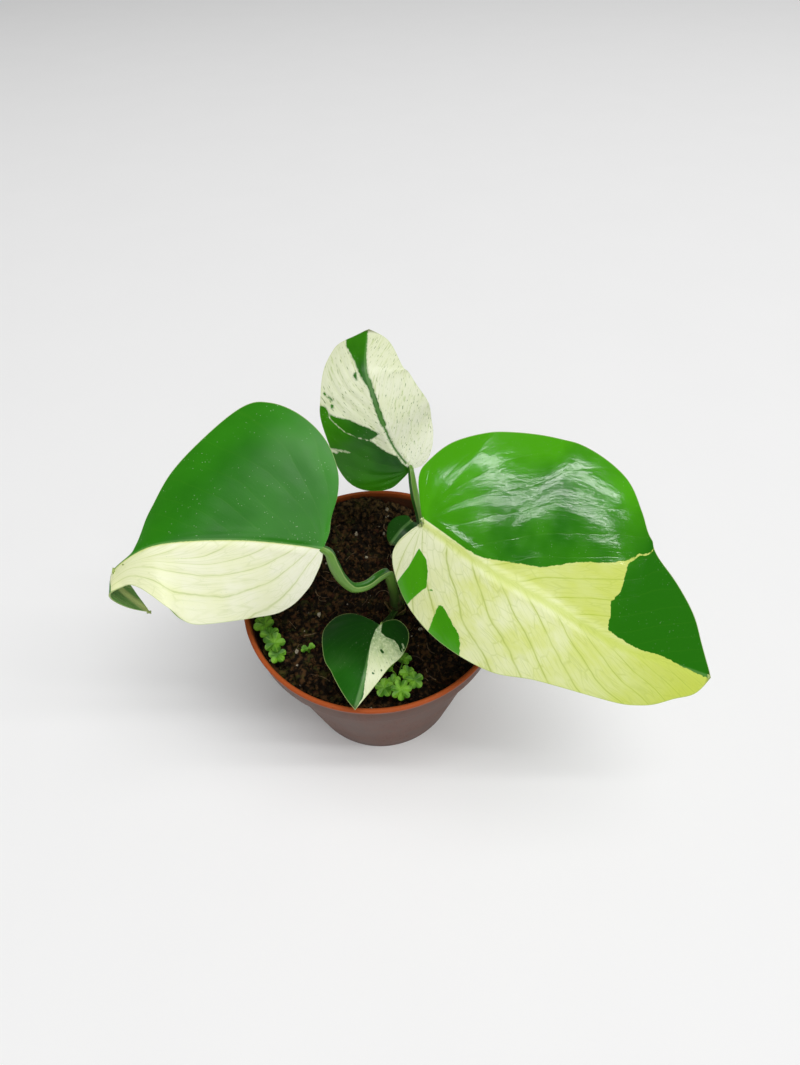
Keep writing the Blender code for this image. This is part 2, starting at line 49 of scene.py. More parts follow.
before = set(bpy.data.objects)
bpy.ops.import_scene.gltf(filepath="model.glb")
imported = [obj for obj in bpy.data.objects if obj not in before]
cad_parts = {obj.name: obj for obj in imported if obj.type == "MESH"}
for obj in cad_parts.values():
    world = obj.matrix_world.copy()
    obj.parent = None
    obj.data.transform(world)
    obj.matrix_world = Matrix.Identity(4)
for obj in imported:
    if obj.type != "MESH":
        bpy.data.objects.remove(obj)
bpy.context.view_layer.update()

MM = 0.001
WELD = 0.01 * MM                   # corners closer than this are one
BODY = "root"                      # the one body of the part
POT_LOW, POT_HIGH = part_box("pot")

# Pot
ROUND_EDGE = 0.5 * MM              # rounding of the band's lower edge, and the step inside the lip
FOOT_EDGE = 1 * MM                 # rounding of the foot
FOOT_LINE = 0.12 * MM              # depth of the moulded line above the foot
BODY_SHARES = (0.035, 0.045, 0.3, 0.6, 0.93, 1.0)  # of the body's height, where its rings are
LIP_STEP = 0.35 * MM               # how far the lip stands out over the band
DRAIN_HOLES = 6
DRAIN_CIRCLE = 23 * MM             # radius of the circle that the holes stand on
DRAIN_RADIUS = 3 * MM

# Leaf blades
SPAN_SAMPLES = 40                  # points between two given points of a curve, before it is evened
CURVE_SAMPLES = 200                # along each midrib and outline
DIRECTION_SPAN = 3                 # samples on each side that give the midrib's direction
DIRECTION_EASE = 9                 # samples that the direction is averaged over
RULING_POWER = 1.7                 # how far forward the grid's cross lines lean
VEIN_REFERENCE = 89.4              # length in mm of the leaf that the vein pattern was drawn for
VEIN_LEAN = 0.45                   # how far a side vein runs forward per mm outwards
VEIN_BOW = 0.02                    # how much it bends further forward, per mm
VEIN_GROWTH = 0.03                 # how much more the veins nearer the tip lean
VEIN_FAN = 25                      # spread of the veins in the lobes behind the stalk
VEIN_SHIFT = 4                     # how far the left veins start beyond the right ones
VEIN_WANDER = 1.2                  # how far a vein strays, mm
ARCH_CRESTS = (0.3, 0.85)          # how near the margin the last and the first arched vein run
ARCH_FADE = 4                      # mm of midrib over which that falls
ARCH_RISE = 9                      # mm in which an arched vein leaves the midrib
ARCH_START = -12.0                 # where the search for an arched vein's foot begins, mm
HALVINGS = 24                      # steps of that search
DROOP_WIDTH = 14                   # mm from the margin at which a blade begins to droop
GROOVE_WIDTH = 0.9                 # half width of the groove over the midrib, mm
RIDGE_PLACE = 2.4                  # mm from the midrib to the low ridge beside the groove
RIDGE_WIDTH = 1.3                  # half width of that ridge, mm
RIDGE_SHARE = 0.4                  # its height as a share of the groove's depth

# Soil
SOIL_RING_COUNT = 70               # rings of corners on the surface
SOIL_SIDES = 240                   # corners in each ring
SOIL_SEED = 5                      # of the random places and sizes
CLOD_WIDTH = 2.2 * MM              # of the rough clods on the surface
CLOD_HEIGHT = 0.9 * MM
CRUMB_SHAPES = 6                   # different shapes among the lumps, the crumbs and the grains
LUMP_RADII = (0.9 * MM, 2.5 * MM)
CRUMB_RADII = (0.3 * MM, 0.95 * MM)
CRUMB_LIFT = 0.15                  # how far above the surface a crumb's middle is, in radii
GRAIN_LIFT = 0.5                   # the same for a grain of perlite
CRUMB_ROUGHNESS = 0.55             # how far a crumb's corners move in or out, in radii
HEAPED_RADII = (0.7, 1.7)          # of the lumps piled against the back, mm
HEAPED_SPREAD = 0.24               # how far they spread round the pot, radians
HEAPED_DEPTH = 2.2                 # how far they spread inwards, mm
HEAPED_RISE = 1.5                  # how high they are piled, mm
THREAD_POINTS = 5                  # points that a fibre's route is drawn through
THREAD_REACH = 41 * MM             # how far from the pot's middle the fibres lie
THREAD_LENGTHS = (3, 8)            # mm
THREAD_RADII = (0.07, 0.17)        # mm
THREAD_BEND = 1.6                  # the most that a fibre turns, radians
THREAD_LIFT = 0.5 * MM             # above the surface

# Stem
STEM_FOOT = (7.6, -5.9)            # where its middle is at STEM_LEVEL, mm
STEM_LEVEL = 63                    # height of the soil round it, mm
STEM_LEAN = (-0.05, -0.085)        # how far it leans per mm of height
STEM_RADIUS = 2.6 * MM
STEM_POINTS = 8                    # points that its route is drawn through
SCALE_FOOT = (7.45, -6.2, 64.0)    # middle of the dry scales' feet, mm
SCALE_RADIUS = 2.75                # how far from that middle they stand, mm
SCALE_THICKNESS = 0.25 * MM

# Leaf stalks
CHANNEL_DEPTH = 0.38               # as a share of the stalk's radius
FOOT_SWELL = 1.25                  # what the first radius is multiplied by
KNEE_SWELL = (1.12, 1.25, 1.1, 0.8, 0.45)  # what the last five radii are multiplied by
KEEL_ALONG = (0.4, 2.5, 5.0)       # how far along the midrib the last points are, mm
KEEL_DEPTH = (1.05, 1.5, 1.3)      # how deep they are under the blade, mm, for a stalk of KEEL_RADIUS
KEEL_RADIUS = 1.2                  # mm

# Leaflets of the seedlings
LOBE_DEPTH = 0.36                  # share of a leaflet's radius
LOBE_ROUNDNESS = 0.55              # below 1 the lobes are round and the notches narrow
LOBE_CORNERS = 18                  # corners round each lobe
LEAFLET_RINGS = 10                 # rings of corners from its middle to its margin
LEAFLET_CUP = 0.12                 # how far its middle sinks, as a share of its radius
LEAFLET_FOLD = 0.07                # height of the fold along each vein, as a share of its radius
CROWN_HEIGHT = 0.8 * MM            # of a seedling's crown above the soil
ROOT_DEPTH = 4 * MM                # of its root below the crown

# Rods of the stem, stalks, roots and fibres
CAP_RINGS = 4                      # rings of corners in each rounded end

# Stage
LAMP_AIM = (0, 0, 0.1)             # where the lamps shine
LAMP_DISTANCE = 4.0                # from there to each lamp
CLIP_START = 0.005                 # nearest distance that the camera sees
SENSOR_HEIGHT = 36                 # of the camera, in its own mm


def rgb(red, green, blue):
    """A screen colour of 0 to 255 as linear light."""
    channels = [value / 255 for value in (red, green, blue)]
    return tuple(c / 12.92 if c <= 0.04045 else ((c + 0.055) / 1.055) ** 2.4 for c in channels)


@dataclass
class Leaf:
    """One blade. Outlines and markings are (along the midrib, out from it); left is positive."""
    name: str
    stalk: str
    midrib: list          # points in space, from the stalk to the tip
    face: tuple           # upward normal at the stalk and at the tip
    fold: tuple           # downward fold in degrees: (left, right) at the stalk, then at the tip
    curl: tuple           # further downward turn in degrees over curl_width: left, right
    curl_width: float
    left: list
    right: list
    green: list           # outlines of the green patches
    green_lines: tuple = ()       # (points, half width) of green strokes
    pale_lines: tuple = ()        # (points, half width) of cream strokes
    arched: tuple = ()    # where the arched veins of the left half leave the midrib, mm
    twist: tuple = (0, 1, 0)      # degrees that the tip turns about the midrib, from and to, mm
    rows: int = 170
    columns: int = 60     # per half
    swell: float = 0.2    # height of the swellings between the side veins, mm
    roll: float = 0.2     # height of the wider unevenness, mm
    droop: float = 0.0    # how much steeper the blade is at its margin than at DROOP_WIDTH from it
    groove: float = 0.4   # depth of the groove over the midrib, mm
    jag: float = 0.6      # how ragged the borders of the patches are, mm
    band: float = 0.0     # half width of the yellow green zone along the midrib, mm
    flecks: float = 0.0   # share of green flecks in the cream
    haze: float = 0.0     # reach of the grey green tint beside the patches, mm
    dust: float = 0.4     # amount of pale lint on the blade
    rough: float = 0.26   # roughness of the upper face
    gloss: float = 0.34   # strength of its reflections
    bright_span: tuple = (0, -1)  # where along the leaf the green turns bright, mm
    bright_base: float = 0.0      # how much brighter the green is at the stalk
    cream: tuple = (222, 226, 152)
    pale: tuple = (238, 243, 200)  # cream towards the stalk and in clouds
    ripe: tuple = (222, 226, 152)  # cream towards the tip
    left_ripe: float = 0.0        # how ripe the left half's cream is all over
    veined: float = 1.0           # strength of the veins in the cream
    edged: float = 0.6            # strength of the pale line along the margin
    haze_end: float = 99.0        # where along the leaf the grey green tint has gone, mm
    fresh: tuple = (58, 143, 16)  # the green near the margin and in clouds
    deep: tuple = (34, 104, 6)    # the green elsewhere


@dataclass
class Stalk:
    """One leaf stalk: its route from the stem to the blade."""
    name: str
    route: list
    foot_radius: float
    end_radius: float
    top: tuple = ()       # where the channel faces at the leaf; left out, it faces as the blade does


LEAVES = [
    Leaf("leaf_right", "stalk_right",
         midrib=[(15.2, -11.9, 117), (31.6, -25.1, 114), (47.9, -33.5, 109),
                 (64.5, -41.3, 102), (76.8, -43.3, 97), (91.4, -45.6, 91)],
         face=((0.10, -0.60, 0.80), (0.35, -0.45, 0.85)),
         fold=((-4, 24), (-2, 10)), curl=(8, 20), curl_width=36,
         left=[(0, 0), (-4, 4), (-9, 10), (-9.6, 15), (-6.8, 24), (2, 33.5), (14, 40.5),
               (30, 43.2), (41.5, 42), (50, 36), (56, 31.5), (65, 29), (74, 21.8), (81, 15),
               (85.2, 7.5), (89.4, 0)],
         right=[(0, 0), (-2, 3), (-3.8, 9), (-2.9, 13.8), (2, 19.2), (10, 23.2), (22, 25.2),
                (36, 24.2), (48, 19), (60, 15), (69, 13.7), (75, 12), (80.5, 8.6), (86, 5.4),
                (89.4, 0)],
         green=[
             [(-12, 1.2), (0, 1.3), (7, 1.3), (13, 1.2), (17, 1.5), (19.5, 2.2), (23, 3.8), (33, 7.3),
              (37, 10.3), (40, 13), (48, 18.2), (52.3, 21.6), (55, 25), (66, 29), (60, 50), (0, 60),
              (-30, 30)],
             [(66, 28.6), (55.4, 24.6), (52.8, 20.6), (53.8, 16), (54.4, 13), (53, 9), (54.5, 6),
              (55.5, 2.3), (60, 1.9), (66, 1.1), (73, 1.2), (80, 0.3), (87, -0.4), (95, -1),
              (100, 20), (80, 40)],
             [(2.5, -6.2), (6, -7.6), (8, -10), (10, -14), (9.2, -16), (8, -20), (7, -26), (1, -24),
              (1.8, -17), (2.5, -12.5)],
             [(15.2, -15.7), (17.4, -15.7), (21, -18.2), (23.3, -19.4), (25.4, -22.4), (27, -27),
              (17, -27), (15.7, -19)],
         ],
         green_lines=[([(10.7, -14.4), (11.7, -13.7)], 0.2)],
         rows=190, columns=66, swell=0.03, roll=0.07, droop=0.035, groove=0.3,
         band=1.7, rough=0.05, gloss=0.46,
         bright_span=(60, 44), bright_base=0.6,
         # The right leaf's high pale is partly its own paler cream, partly painted light on the lobe at the
         # stalk, which the fold turns into shade.
         cream=(224, 234, 140), pale=(248, 252, 216), ripe=(194, 208, 76), left_ripe=0.6,
         fresh=(74, 164, 10), deep=(34, 110, 6)),
    Leaf("leaf_left", "stalk_left",
         midrib=[(-12.4, -13.5, 109), (-33.3, -14, 114), (-53, -15.1, 115), (-63.1, -16.3, 112),
                 (-72, -17.9, 104.5), (-71.3, -18.8, 98), (-66.2, -20.1, 88)],
         face=((0, -0.58, 0.82), (-0.9, 0.05, 0.4)),
         fold=((34, -2), (26, 4)), curl=(16, 12), curl_width=36,
         left=[(0, 0), (-0.2, 4), (0.6, 8.6), (2.3, 15), (6.5, 23), (13, 26.8), (27, 26.6),
               (38, 25), (44, 21.5), (49.5, 16.7), (52.5, 12.3), (55, 9), (58, 6.6), (62, 5.6),
               (66, 5.2), (71, 4.2), (76, 2.6), (82, 0)],
         right=[(0, 0), (-1.2, 4.5), (-1.3, 9), (-2.4, 16), (-1.5, 23), (2.5, 30.5), (10, 37),
                (18, 40.7), (24, 39.8), (34, 30.5), (41.5, 22), (46, 13.4), (48, 9.8), (50, 5),
                (52, 1.6), (54, 0.7), (58, 0.5), (62, 0.8), (66, 2.3), (71, 3), (76, 1.8), (82, 0)],
         green=[
             [(-30, 0.3), (0, 0.3), (4, 0), (64, 0), (66, 12), (100, 14), (100, -60), (-30, -60)],
         ],
         arched=(-4, 0, 3, 7, 14, 24, 36, 48, 62),
         twist=(38, 60, 70),
         rows=190, columns=66, swell=0.06, roll=0.12, jag=0.2, band=0.6, dust=1.0, rough=0.27,
         cream=(245, 249, 206), pale=(253, 254, 232), ripe=(238, 244, 178), veined=0.7,
         fresh=(48, 134, 14), deep=(34, 110, 12)),
    Leaf("leaf_back", "stalk_back",
         midrib=[(13.1, 27.8, 98), (7.7, 28.9, 107), (4.3, 30.4, 116), (1.4, 34.9, 124),
                 (-0.5, 41, 130), (0.4, 54.6, 134)],
         face=((0.1, -0.75, 0.6), (0, -0.35, 0.9)),
         fold=((8, 8), (8, 8)), curl=(15, 15), curl_width=22,
         left=[(0, 0), (-1.2, 4), (-1.9, 9.7), (1.4, 15.4), (9, 19.6), (20, 18.8), (29, 18),
               (36, 15), (43, 12.2), (48, 9.6), (51.2, 4), (53.4, 0)],
         right=[(0, 0), (-2, 4), (-1.2, 8.5), (4.3, 14.9), (12, 17.3), (21, 17), (32.5, 13.8),
                (42.4, 11), (50.1, 6.6), (53.4, 0)],
         green=[
             [(-8, 0.3), (1, 0.4), (4.2, 1.1), (7.2, 0.9), (10.9, 3.1), (14, 4.6), (16.8, 6),
              (17.6, 2.5), (20.4, 4.6), (24.7, 9.5), (26.6, 13), (28.1, 15.1), (30.6, 15.6),
              (31.4, 17), (34, 26), (10, 32), (-12, 16)],
             [(60, 10), (49.3, 7), (46.9, 6.7), (43.4, 4.8), (40.4, 3.3), (36, 2), (32.8, 0.9),
              (31, 0), (33.5, -0.5), (38.9, -0.3), (45, 0), (52.5, 0.4), (60, 0.6)],
         ],
         green_lines=[([(20, 0), (34, 0)], 0.75), ([(3, 0), (20, 0)], 0.3),
                      ([(32.1, 12.8), (33, 13.4), (34.2, 14.5)], 0.22),
                      ([(35.6, 3.4), (36.3, 3.9), (37, 3.5)], 0.36), ([(29.7, 13.5), (30.4, 13.3)], 0.32)],
         pale_lines=[([(28, 15.6), (26.2, 15), (21.8, 12.2), (19, 9.2), (16.6, 6)], 0.13),
                     ([(18.6, 20), (16.8, 16.4), (15.1, 13.4)], 0.34), ([(18.4, 20), (16.6, 17.6)], 0.6)],
         rows=130, columns=44, swell=0.1, jag=0.6, flecks=1.0, haze=0.5, veined=0.22, dust=0.8,
         edged=0.25, cream=(228, 234, 198), pale=(242, 244, 224), ripe=(226, 232, 196),
         fresh=(54, 130, 6), deep=(18, 76, 10)),
    Leaf("leaf_front", "stalk_front",
         midrib=[(2.2, -20.1, 78), (-0.6, -30, 79.5), (-2.1, -37.7, 79), (-4.9, -46.3, 75.5)],
         face=((0, -0.15, 1), (0, -0.5, 1)),
         fold=((8, 8), (8, 8)), curl=(20, 20), curl_width=14,
         left=[(0, 0), (-2.6, 1.7), (-4.3, 5), (-2.5, 8.8), (2, 10.2), (8.6, 9.2), (17, 5),
               (23.3, 2.1), (28, 0)],
         right=[(0, 0), (-2.1, 5), (-3.8, 11), (-2.8, 16.6), (1.5, 19.3), (7.6, 17.5),
                (14.1, 13.8), (20.5, 9.6), (25.3, 4.2), (28, 0)],
         green=[
             [(-12, 0), (0, -0.1), (2, -0.8), (7, -0.8), (12, -0.1), (17, 0.2), (21, 0.7),
              (24, 1.2), (27, 0.4), (32, 0), (32, -30), (-12, -30)],
             [(-8, 0.6), (0, 0.6), (2.4, 1), (3.4, 3), (3.2, 5.7), (4.2, 7.4), (6, 8.8), (6.5, 13),
              (-8, 14)],
         ],
         green_lines=[([(8.6, 3), (9.1, 3.7)], 0.42), ([(16.8, 2), (17.1, 2.5)], 0.2),
                      ([(15.3, 4.3), (15.6, 4.6)], 0.2), ([(16.1, 2.3), (16.3, 2.7)], 0.14),
                      ([(12.4, 5.6), (12.6, 5.8)], 0.14), ([(10.4, 6.8), (10.7, 7)], 0.14)],
         pale_lines=[([(3.2, 8.6), (4.2, 9.4)], 0.3), ([(5, 9), (5.6, 9.6)], 0.22)],
         rows=90, columns=36, swell=0.04, jag=0.4, flecks=0.45, haze=5.0, haze_end=15.0, veined=0.2,
         bright_span=(4, 22), cream=(200, 212, 164), pale=(224, 230, 196), ripe=(222, 226, 190),
         fresh=(28, 98, 8), deep=(12, 60, 3)),
    Leaf("leaf_small", "stalk_small",
         midrib=[(13.0, 23.2, 76.5), (9.4, 19.4, 76.2), (5.4, 15.2, 73.5)],
         face=((0.1, -0.2, 1), (-0.2, -0.3, 1)),
         fold=((6, 6), (6, 6)), curl=(20, 20), curl_width=8,
         left=[(0, 0), (-1, 2.4), (1.6, 5.2), (6, 5.6), (10, 3.2), (12, 0)],
         right=[(0, 0), (-1, 2.4), (1.6, 5.2), (6, 5.6), (10, 3.2), (12, 0)],
         green=[[(-30, -30), (40, -30), (40, 30), (-30, 30)]],
         rows=50, columns=24, swell=0.03, edged=0.0,
         # Painted shade: the small leaf's greens are made dark to stand for the shade it lies in near the
         # soil.
         fresh=(24, 76, 8), deep=(14, 56, 4)),
]

STALKS = [
    Stalk("stalk_left",
          [(7.0, -7.0, 70), (6.6, -7.6, 76), (5.8, -8.1, 84), (4.9, -9.0, 90), (2.4, -11.8, 92.2),
           (-0.3, -14.1, 92), (-2.9, -15.5, 92.3), (-5.6, -16.2, 93.6), (-8.3, -15.8, 98),
           (-10.0, -14.8, 103.4), (-10.9, -13.8, 107.3)],
          1.5, 1.3, (0.8, 0.4, 0.2)),
    Stalk("stalk_right",
          [(7.6, -6.4, 68), (10.6, -4.6, 76), (13.4, -4.0, 88), (14.8, -4.6, 100), (15.4, -7.4, 109.5),
           (16.2, -10.5, 115)],
          1.6, 1.3),
    Stalk("stalk_back",
          [(7.6, -6.2, 66), (11.6, -0.6, 71), (15.2, 7.5, 75.5), (16.4, 14.5, 79.5),
           (15.9, 18.6, 85), (14.6, 20.6, 91), (13.8, 22.6, 95.2), (13.0, 26.6, 99.5)],
          1.4, 1.0),
    Stalk("stalk_front",
          [(7.4, -6.4, 65.5), (5.6, -11.0, 67.6), (3.8, -15.6, 71), (2.2, -20.3, 75.6)],
          1.1, 0.9),
    Stalk("stalk_small",
          [(7.8, -6.0, 64.8), (11.0, 0.5, 66.0), (14.6, 9.0, 67.4), (15.2, 17.5, 69.4),
           (12.4, 22.4, 74.4)],
          0.9, 0.7),
]

SEEDLINGS = {
    "seedling_front": ((7.5, -31.5), [
        # x, y, z, radius, lobes, turn, tilt
        (3.2, -36.6, 68.6, 3.0, 5, 200, 0.25),
        (8.4, -37.8, 69.4, 3.3, 7, 260, 0.2),
        (12.6, -34.4, 68.8, 2.9, 5, 330, 0.25),
        (10.4, -31.6, 68.2, 2.5, 5, 20, 0.2),
        (9.6, -26.4, 67.6, 2.4, 5, 60, 0.3),
        (6.2, -34.2, 68.0, 2.2, 5, 120, 0.2),
        (4.2, -29.0, 67.4, 2.2, 5, 150, 0.3)]),
    "seedling_left": ((-33.6, -15.2), [
        (-37.0, -12.8, 67.8, 3.6, 5, 120, 0.2),
        (-34.4, -17.2, 68.2, 3.2, 5, 200, 0.15),
        (-32.4, -20.4, 68.6, 3.5, 5, 280, 0.15),
        (-31.2, -24.2, 67.4, 2.9, 5, 300, 0.2)]),
    "sprout": ((-21.8, -21.2), [
        (-22.9, -21.6, 66.2, 1.3, 3, 180, 0.2),
        (-20.6, -20.8, 66.4, 1.2, 3, 0, 0.2)]),
}


def metres(name, description, default):
    """A setting that is a length."""
    return FloatProperty(name=name, description=description, default=default, unit='LENGTH')


def whole(name, description, default):
    """A setting that counts things."""
    return IntProperty(name=name, description=description, default=default)


def factor(name, description, default):
    """A setting that is a plain number."""
    return FloatProperty(name=name, description=description, default=default)


def tint(name, description, red, green, blue):
    """A setting that is a colour, given as it looks on a screen."""
    return FloatVectorProperty(name=name, description=description, default=rgb(red, green, blue),
                               subtype='COLOR')


class PotSettings(bpy.types.PropertyGroup):
    """Sizes and colours of the pot."""
    height: metres("Height", "From the foot to the top of the lip", POT_HIGH.z)
    rim_radius: metres("Rim radius", "Outer radius of the lip", (POT_HIGH.x - POT_LOW.x) / 2)
    rim_thickness: metres("Rim thickness", "Width of the rounded lip", 1.6 * MM)
    band_height: metres("Band height", "Height of the band under the lip", 10 * MM)
    band_foot_radius: metres("Band foot radius", "Outer radius where the band ends", 44 * MM)
    body_top_radius: metres("Body top radius", "Outer radius under the band", 42.3 * MM)
    base_radius: metres("Base radius", "Outer radius at the foot", 31.5 * MM)
    wall: metres("Wall", "Thickness of the moulding", 1.3 * MM)
    sides: whole("Sides", "Number of facets round the pot", 144)
    # Painted shade: the body colour is darker and greyer than the lip's terracotta, to stand for the shade
    # on the pot's sides.
    lip_colour: tint("Lip colour", "Clean orange plastic of the lip", 166, 80, 38)
    shaded_body_colour: tint("Body colour", "Duller plastic of the sides", 84, 54, 40)
    soil_mark_colour: tint("Soil mark colour", "Dried soil on the plastic", 76, 62, 48)


class SoilSettings(bpy.types.PropertyGroup):
    """Sizes and colours of the soil."""
    level: metres("Level", "Mean height of the surface", 63 * MM)
    relief: metres("Relief", "Height of the soft bumps", 1.1 * MM)
    bump: metres("Bump width", "Width of the soft bumps", 7 * MM)
    bank_height: metres("Bank height", "Height of the soil heaped at the back", 5.5 * MM)
    bank_reach: metres("Bank reach", "Half width of that heap", 16 * MM)
    bank_top: FloatVectorProperty(name="Bank top", description="Where it is highest",
                                  default=(-10 * MM, 44 * MM), size=2, unit='LENGTH')
    gap: metres("Gap", "Clearance to the pot", 0.3 * MM)
    lumps: whole("Lumps", "Number of large lumps", 380)
    heaped: whole("Heaped lumps", "Number of lumps piled against the back", 190)
    crumbs: whole("Crumbs", "Number of small crumbs", 2600)
    grains: whole("Grains", "Number of pale perlite grains", 90)
    fibres: whole("Fibres", "Number of root and peat threads", 80)
    dark_colour: tint("Dark colour", "Damp peat", 17, 11, 5)
    brown_colour: tint("Brown colour", "Drier peat crumbs", 84, 58, 32)
    moss_colour: tint("Moss colour", "Film of moss and algae", 72, 74, 30)
    grain_colour: tint("Grain colour", "Perlite", 170, 160, 140)


class LeafSettings(bpy.types.PropertyGroup):
    """Sizes and colours that the leaf blades share."""
    blade: metres("Blade thickness", "Thickness of the blade", 0.45 * MM)
    midrib: metres("Midrib thickness", "Thickness at the foot of the midrib", 1.9 * MM)
    midrib_width: metres("Midrib width", "Half width of the midrib", 1.0 * MM)
    vein_step: metres("Vein spacing", "Distance between main side veins", 8.0 * MM)
    vein_colour: tint("Vein colour", "Side veins in the cream", 168, 188, 66)
    midrib_colour: tint("Midrib colour", "Yellow green along the midrib", 202, 218, 96)
    rim_colour: tint("Rim colour", "Thin pale margin", 176, 196, 122)
    under_green: tint("Underside green", "Green patches seen from below", 86, 138, 58)
    under_cream: tint("Underside cream", "Cream seen from below", 214, 218, 160)


class StalkSettings(bpy.types.PropertyGroup):
    """Colours of the stem and the leaf stalks."""
    top_colour: tint("Channel colour", "Inside the channel of a stalk", 44, 104, 20)
    flank_colour: tint("Flank colour", "Sides of a stalk", 112, 158, 56)
    wing_colour: tint("Wing colour", "Pale edges of the channel", 172, 192, 118)
    # Painted shade: the stem's colour is dark and grey to stand for the shade it stands in under the
    # leaves.
    shaded_stem_colour: tint("Stem colour", "Skin of the short stem", 40, 54, 22)
    sheath_colour: tint("Sheath colour", "Dry remains of old sheaths", 96, 74, 40)


class SeedlingSettings(bpy.types.PropertyGroup):
    """Sizes and colours of the small weeds."""
    blade: metres("Blade thickness", "Thickness of a leaflet", 0.25 * MM)
    stalk_radius: metres("Stalk radius", "Radius of a leaflet's stalk", 0.32 * MM)
    bright_colour: tint("Bright green", "Middle of a leaflet", 112, 168, 40)
    dark_colour: tint("Dark green", "Older leaflets", 60, 112, 18)


class StageSettings(bpy.types.PropertyGroup):
    """The floor, the lights and the camera."""
    floor_size: metres("Floor size", "Side of the floor", 12.0)
    floor_colour: FloatVectorProperty(name="Floor colour", description="Plain pale floor",
                                      default=(0.96, 0.96, 0.96), subtype='COLOR')
    sky: factor("Sky", "Strength of the even light from all round", 0.09)
    strip_glow: factor("Strip glow", "Brightness of the two strips overhead", 27.0)
    top_glow: factor("Top glow", "Brightness of the wide lamp overhead", 2.45)
    front_glow: factor("Front glow", "Brightness of the wide lamp in front", 2.0)
    camera_place: FloatVectorProperty(name="Camera place", description="Where the lens is", subtype='XYZ',
                                      unit='LENGTH', default=(9.0 * MM, -111.2 * MM, 236.85 * MM))
    camera_drop: FloatProperty(name="Camera drop", description="How far below level the camera looks",
                               default=math.radians(51.15), subtype='ANGLE')
    camera_roll: FloatProperty(name="Camera roll", description="Turn round the line of sight",
                               default=math.radians(-1.13), subtype='ANGLE')
    focal_share: factor("Focal share", "Focal length as a share of the image's height", 580 / 1065)


class Value:
    """A socket of a shader. An expression on values adds its Math nodes."""

    def __init__(self, finish, socket):
        self.finish = finish
        self.socket = socket

    def maths(self, operation, first, second):
        """A Math node on two numbers or values."""
        return self.finish.node("ShaderNodeMath", {"operation": operation}, {0: first, 1: second})

    def __add__(self, other):
        return self.maths('ADD', self, other)

    def __sub__(self, other):
        return self.maths('SUBTRACT', self, other)

    def __rsub__(self, other):
        return self.maths('SUBTRACT', other, self)

    def __mul__(self, other):
        return self.maths('MULTIPLY', self, other)

    def __truediv__(self, other):
        return self.maths('DIVIDE', self, other)

    __radd__ = __add__

    def most(self, other):
        """The larger of two values."""
        return self.maths('MAXIMUM', self, other)

    def size(self):
        """The value without its sign."""
        return self.maths('ABSOLUTE', self, 0)

    def apart(self, spacing):
        """The distance to the nearest multiple of a spacing."""
        return self.maths('PINGPONG', self, spacing / 2)

    def rise(self, low, high):
        """A soft step from 0 at low to 1 at high."""
        return self.finish.node("ShaderNodeMapRange", {"interpolation_type": 'SMOOTHSTEP'},
                                {0: self, 1: low, 2: high, 3: 0.0, 4: 1.0})


class Finish:
    """A material in the making: its Principled shader and the nodes that feed it."""

    def __init__(self, name):
        self.material = bpy.data.materials.new(name)
        self.material.use_nodes = True
        self.tree = self.material.node_tree
        self.shader = self.tree.nodes["Principled BSDF"]

    def node(self, kind, settings=None, inputs=None, output=0):
        """Add one node: its settings first, then the values or links of its sockets."""
        node = self.tree.nodes.new(kind)
        for name, setting in (settings or {}).items():
            setattr(node, name, setting)
        for key, given in (inputs or {}).items():
            self.feed(node.inputs[key], given)
        return Value(self, node.outputs[output])

    def feed(self, socket, given):
        """Link a value to a socket, or set the socket to a number or colour."""
        if isinstance(given, Value):
            self.tree.links.new(given.socket, socket)
        else:
            socket.default_value = given

    def place(self):
        """Object coordinates in millimetres."""
        spot = self.node("ShaderNodeTexCoord", output=3)
        return self.scaled(spot, (1 / MM, 1 / MM, 1 / MM))

    def attribute(self, name, output=2):
        """A number kept on the mesh, or with output 1 a vector."""
        return self.node("ShaderNodeAttribute", {"attribute_name": name}, output=output)

    def scaled(self, vector, factors):
        """A vector with each part multiplied."""
        return self.node("ShaderNodeVectorMath", {"operation": 'MULTIPLY'}, {0: vector, 1: factors})

    def joined(self, x, y, z=0.0):
        """A vector from three numbers."""
        return self.node("ShaderNodeCombineXYZ", inputs={0: x, 1: y, 2: z})

    def part(self, vector, axis):
        """One number of a vector."""
        return self.node("ShaderNodeSeparateXYZ", inputs={0: vector}, output=axis)

    def mix(self, share, first, second):
        """A colour between two colours."""
        colours = {6: first, 7: second}
        ready = {key: c if isinstance(c, Value) else (*c, 1.0) for key, c in colours.items()}
        return self.node("ShaderNodeMix", {"data_type": 'RGBA'}, {0: share, **ready}, output=2)

    def over(self, base, *layers):
        """A base colour with others laid over it, each layer as (share, colour)."""
        for share, colour in layers:
            base = self.mix(share, base, colour)
        return base

    def noise(self, vector, width, detail=2.0, rough=0.5):
        """Smooth noise of 0 to 1 with cells of a width in the vector's units."""
        return self.node("ShaderNodeTexNoise", inputs={"Vector": vector, "Scale": 1 / width,
                                                       "Detail": detail, "Roughness": rough})

    def cells(self, vector, width, feature='F1'):
        """Distance to the nearest cell point, or with DISTANCE_TO_EDGE to the cell's border."""
        return self.node("ShaderNodeTexVoronoi", {"feature": feature},
                         {"Vector": vector, "Scale": 1 / width})

    def done(self, colour, roughness, height, depth, coat=0.0, specular=0.5):
        """Feed the shader; height is 0 to 1 and depth is its size in metres."""
        bump = self.node("ShaderNodeBump", inputs={"Strength": 1.0, "Distance": depth, "Height": height})
        sockets = {"Base Color": colour, "Roughness": roughness, "Coat Weight": coat,
                   "Coat Roughness": 0.2, "Specular IOR Level": specular, "Normal": bump}
        for socket, given in sockets.items():
            self.feed(self.shader.inputs[socket], given)
        return self.material


def deselect():
    """Leave edit mode and select nothing."""
    if bpy.context.object and bpy.context.object.mode != 'OBJECT':
        bpy.ops.object.mode_set(mode='OBJECT')
    bpy.ops.object.select_all(action='DESELECT')


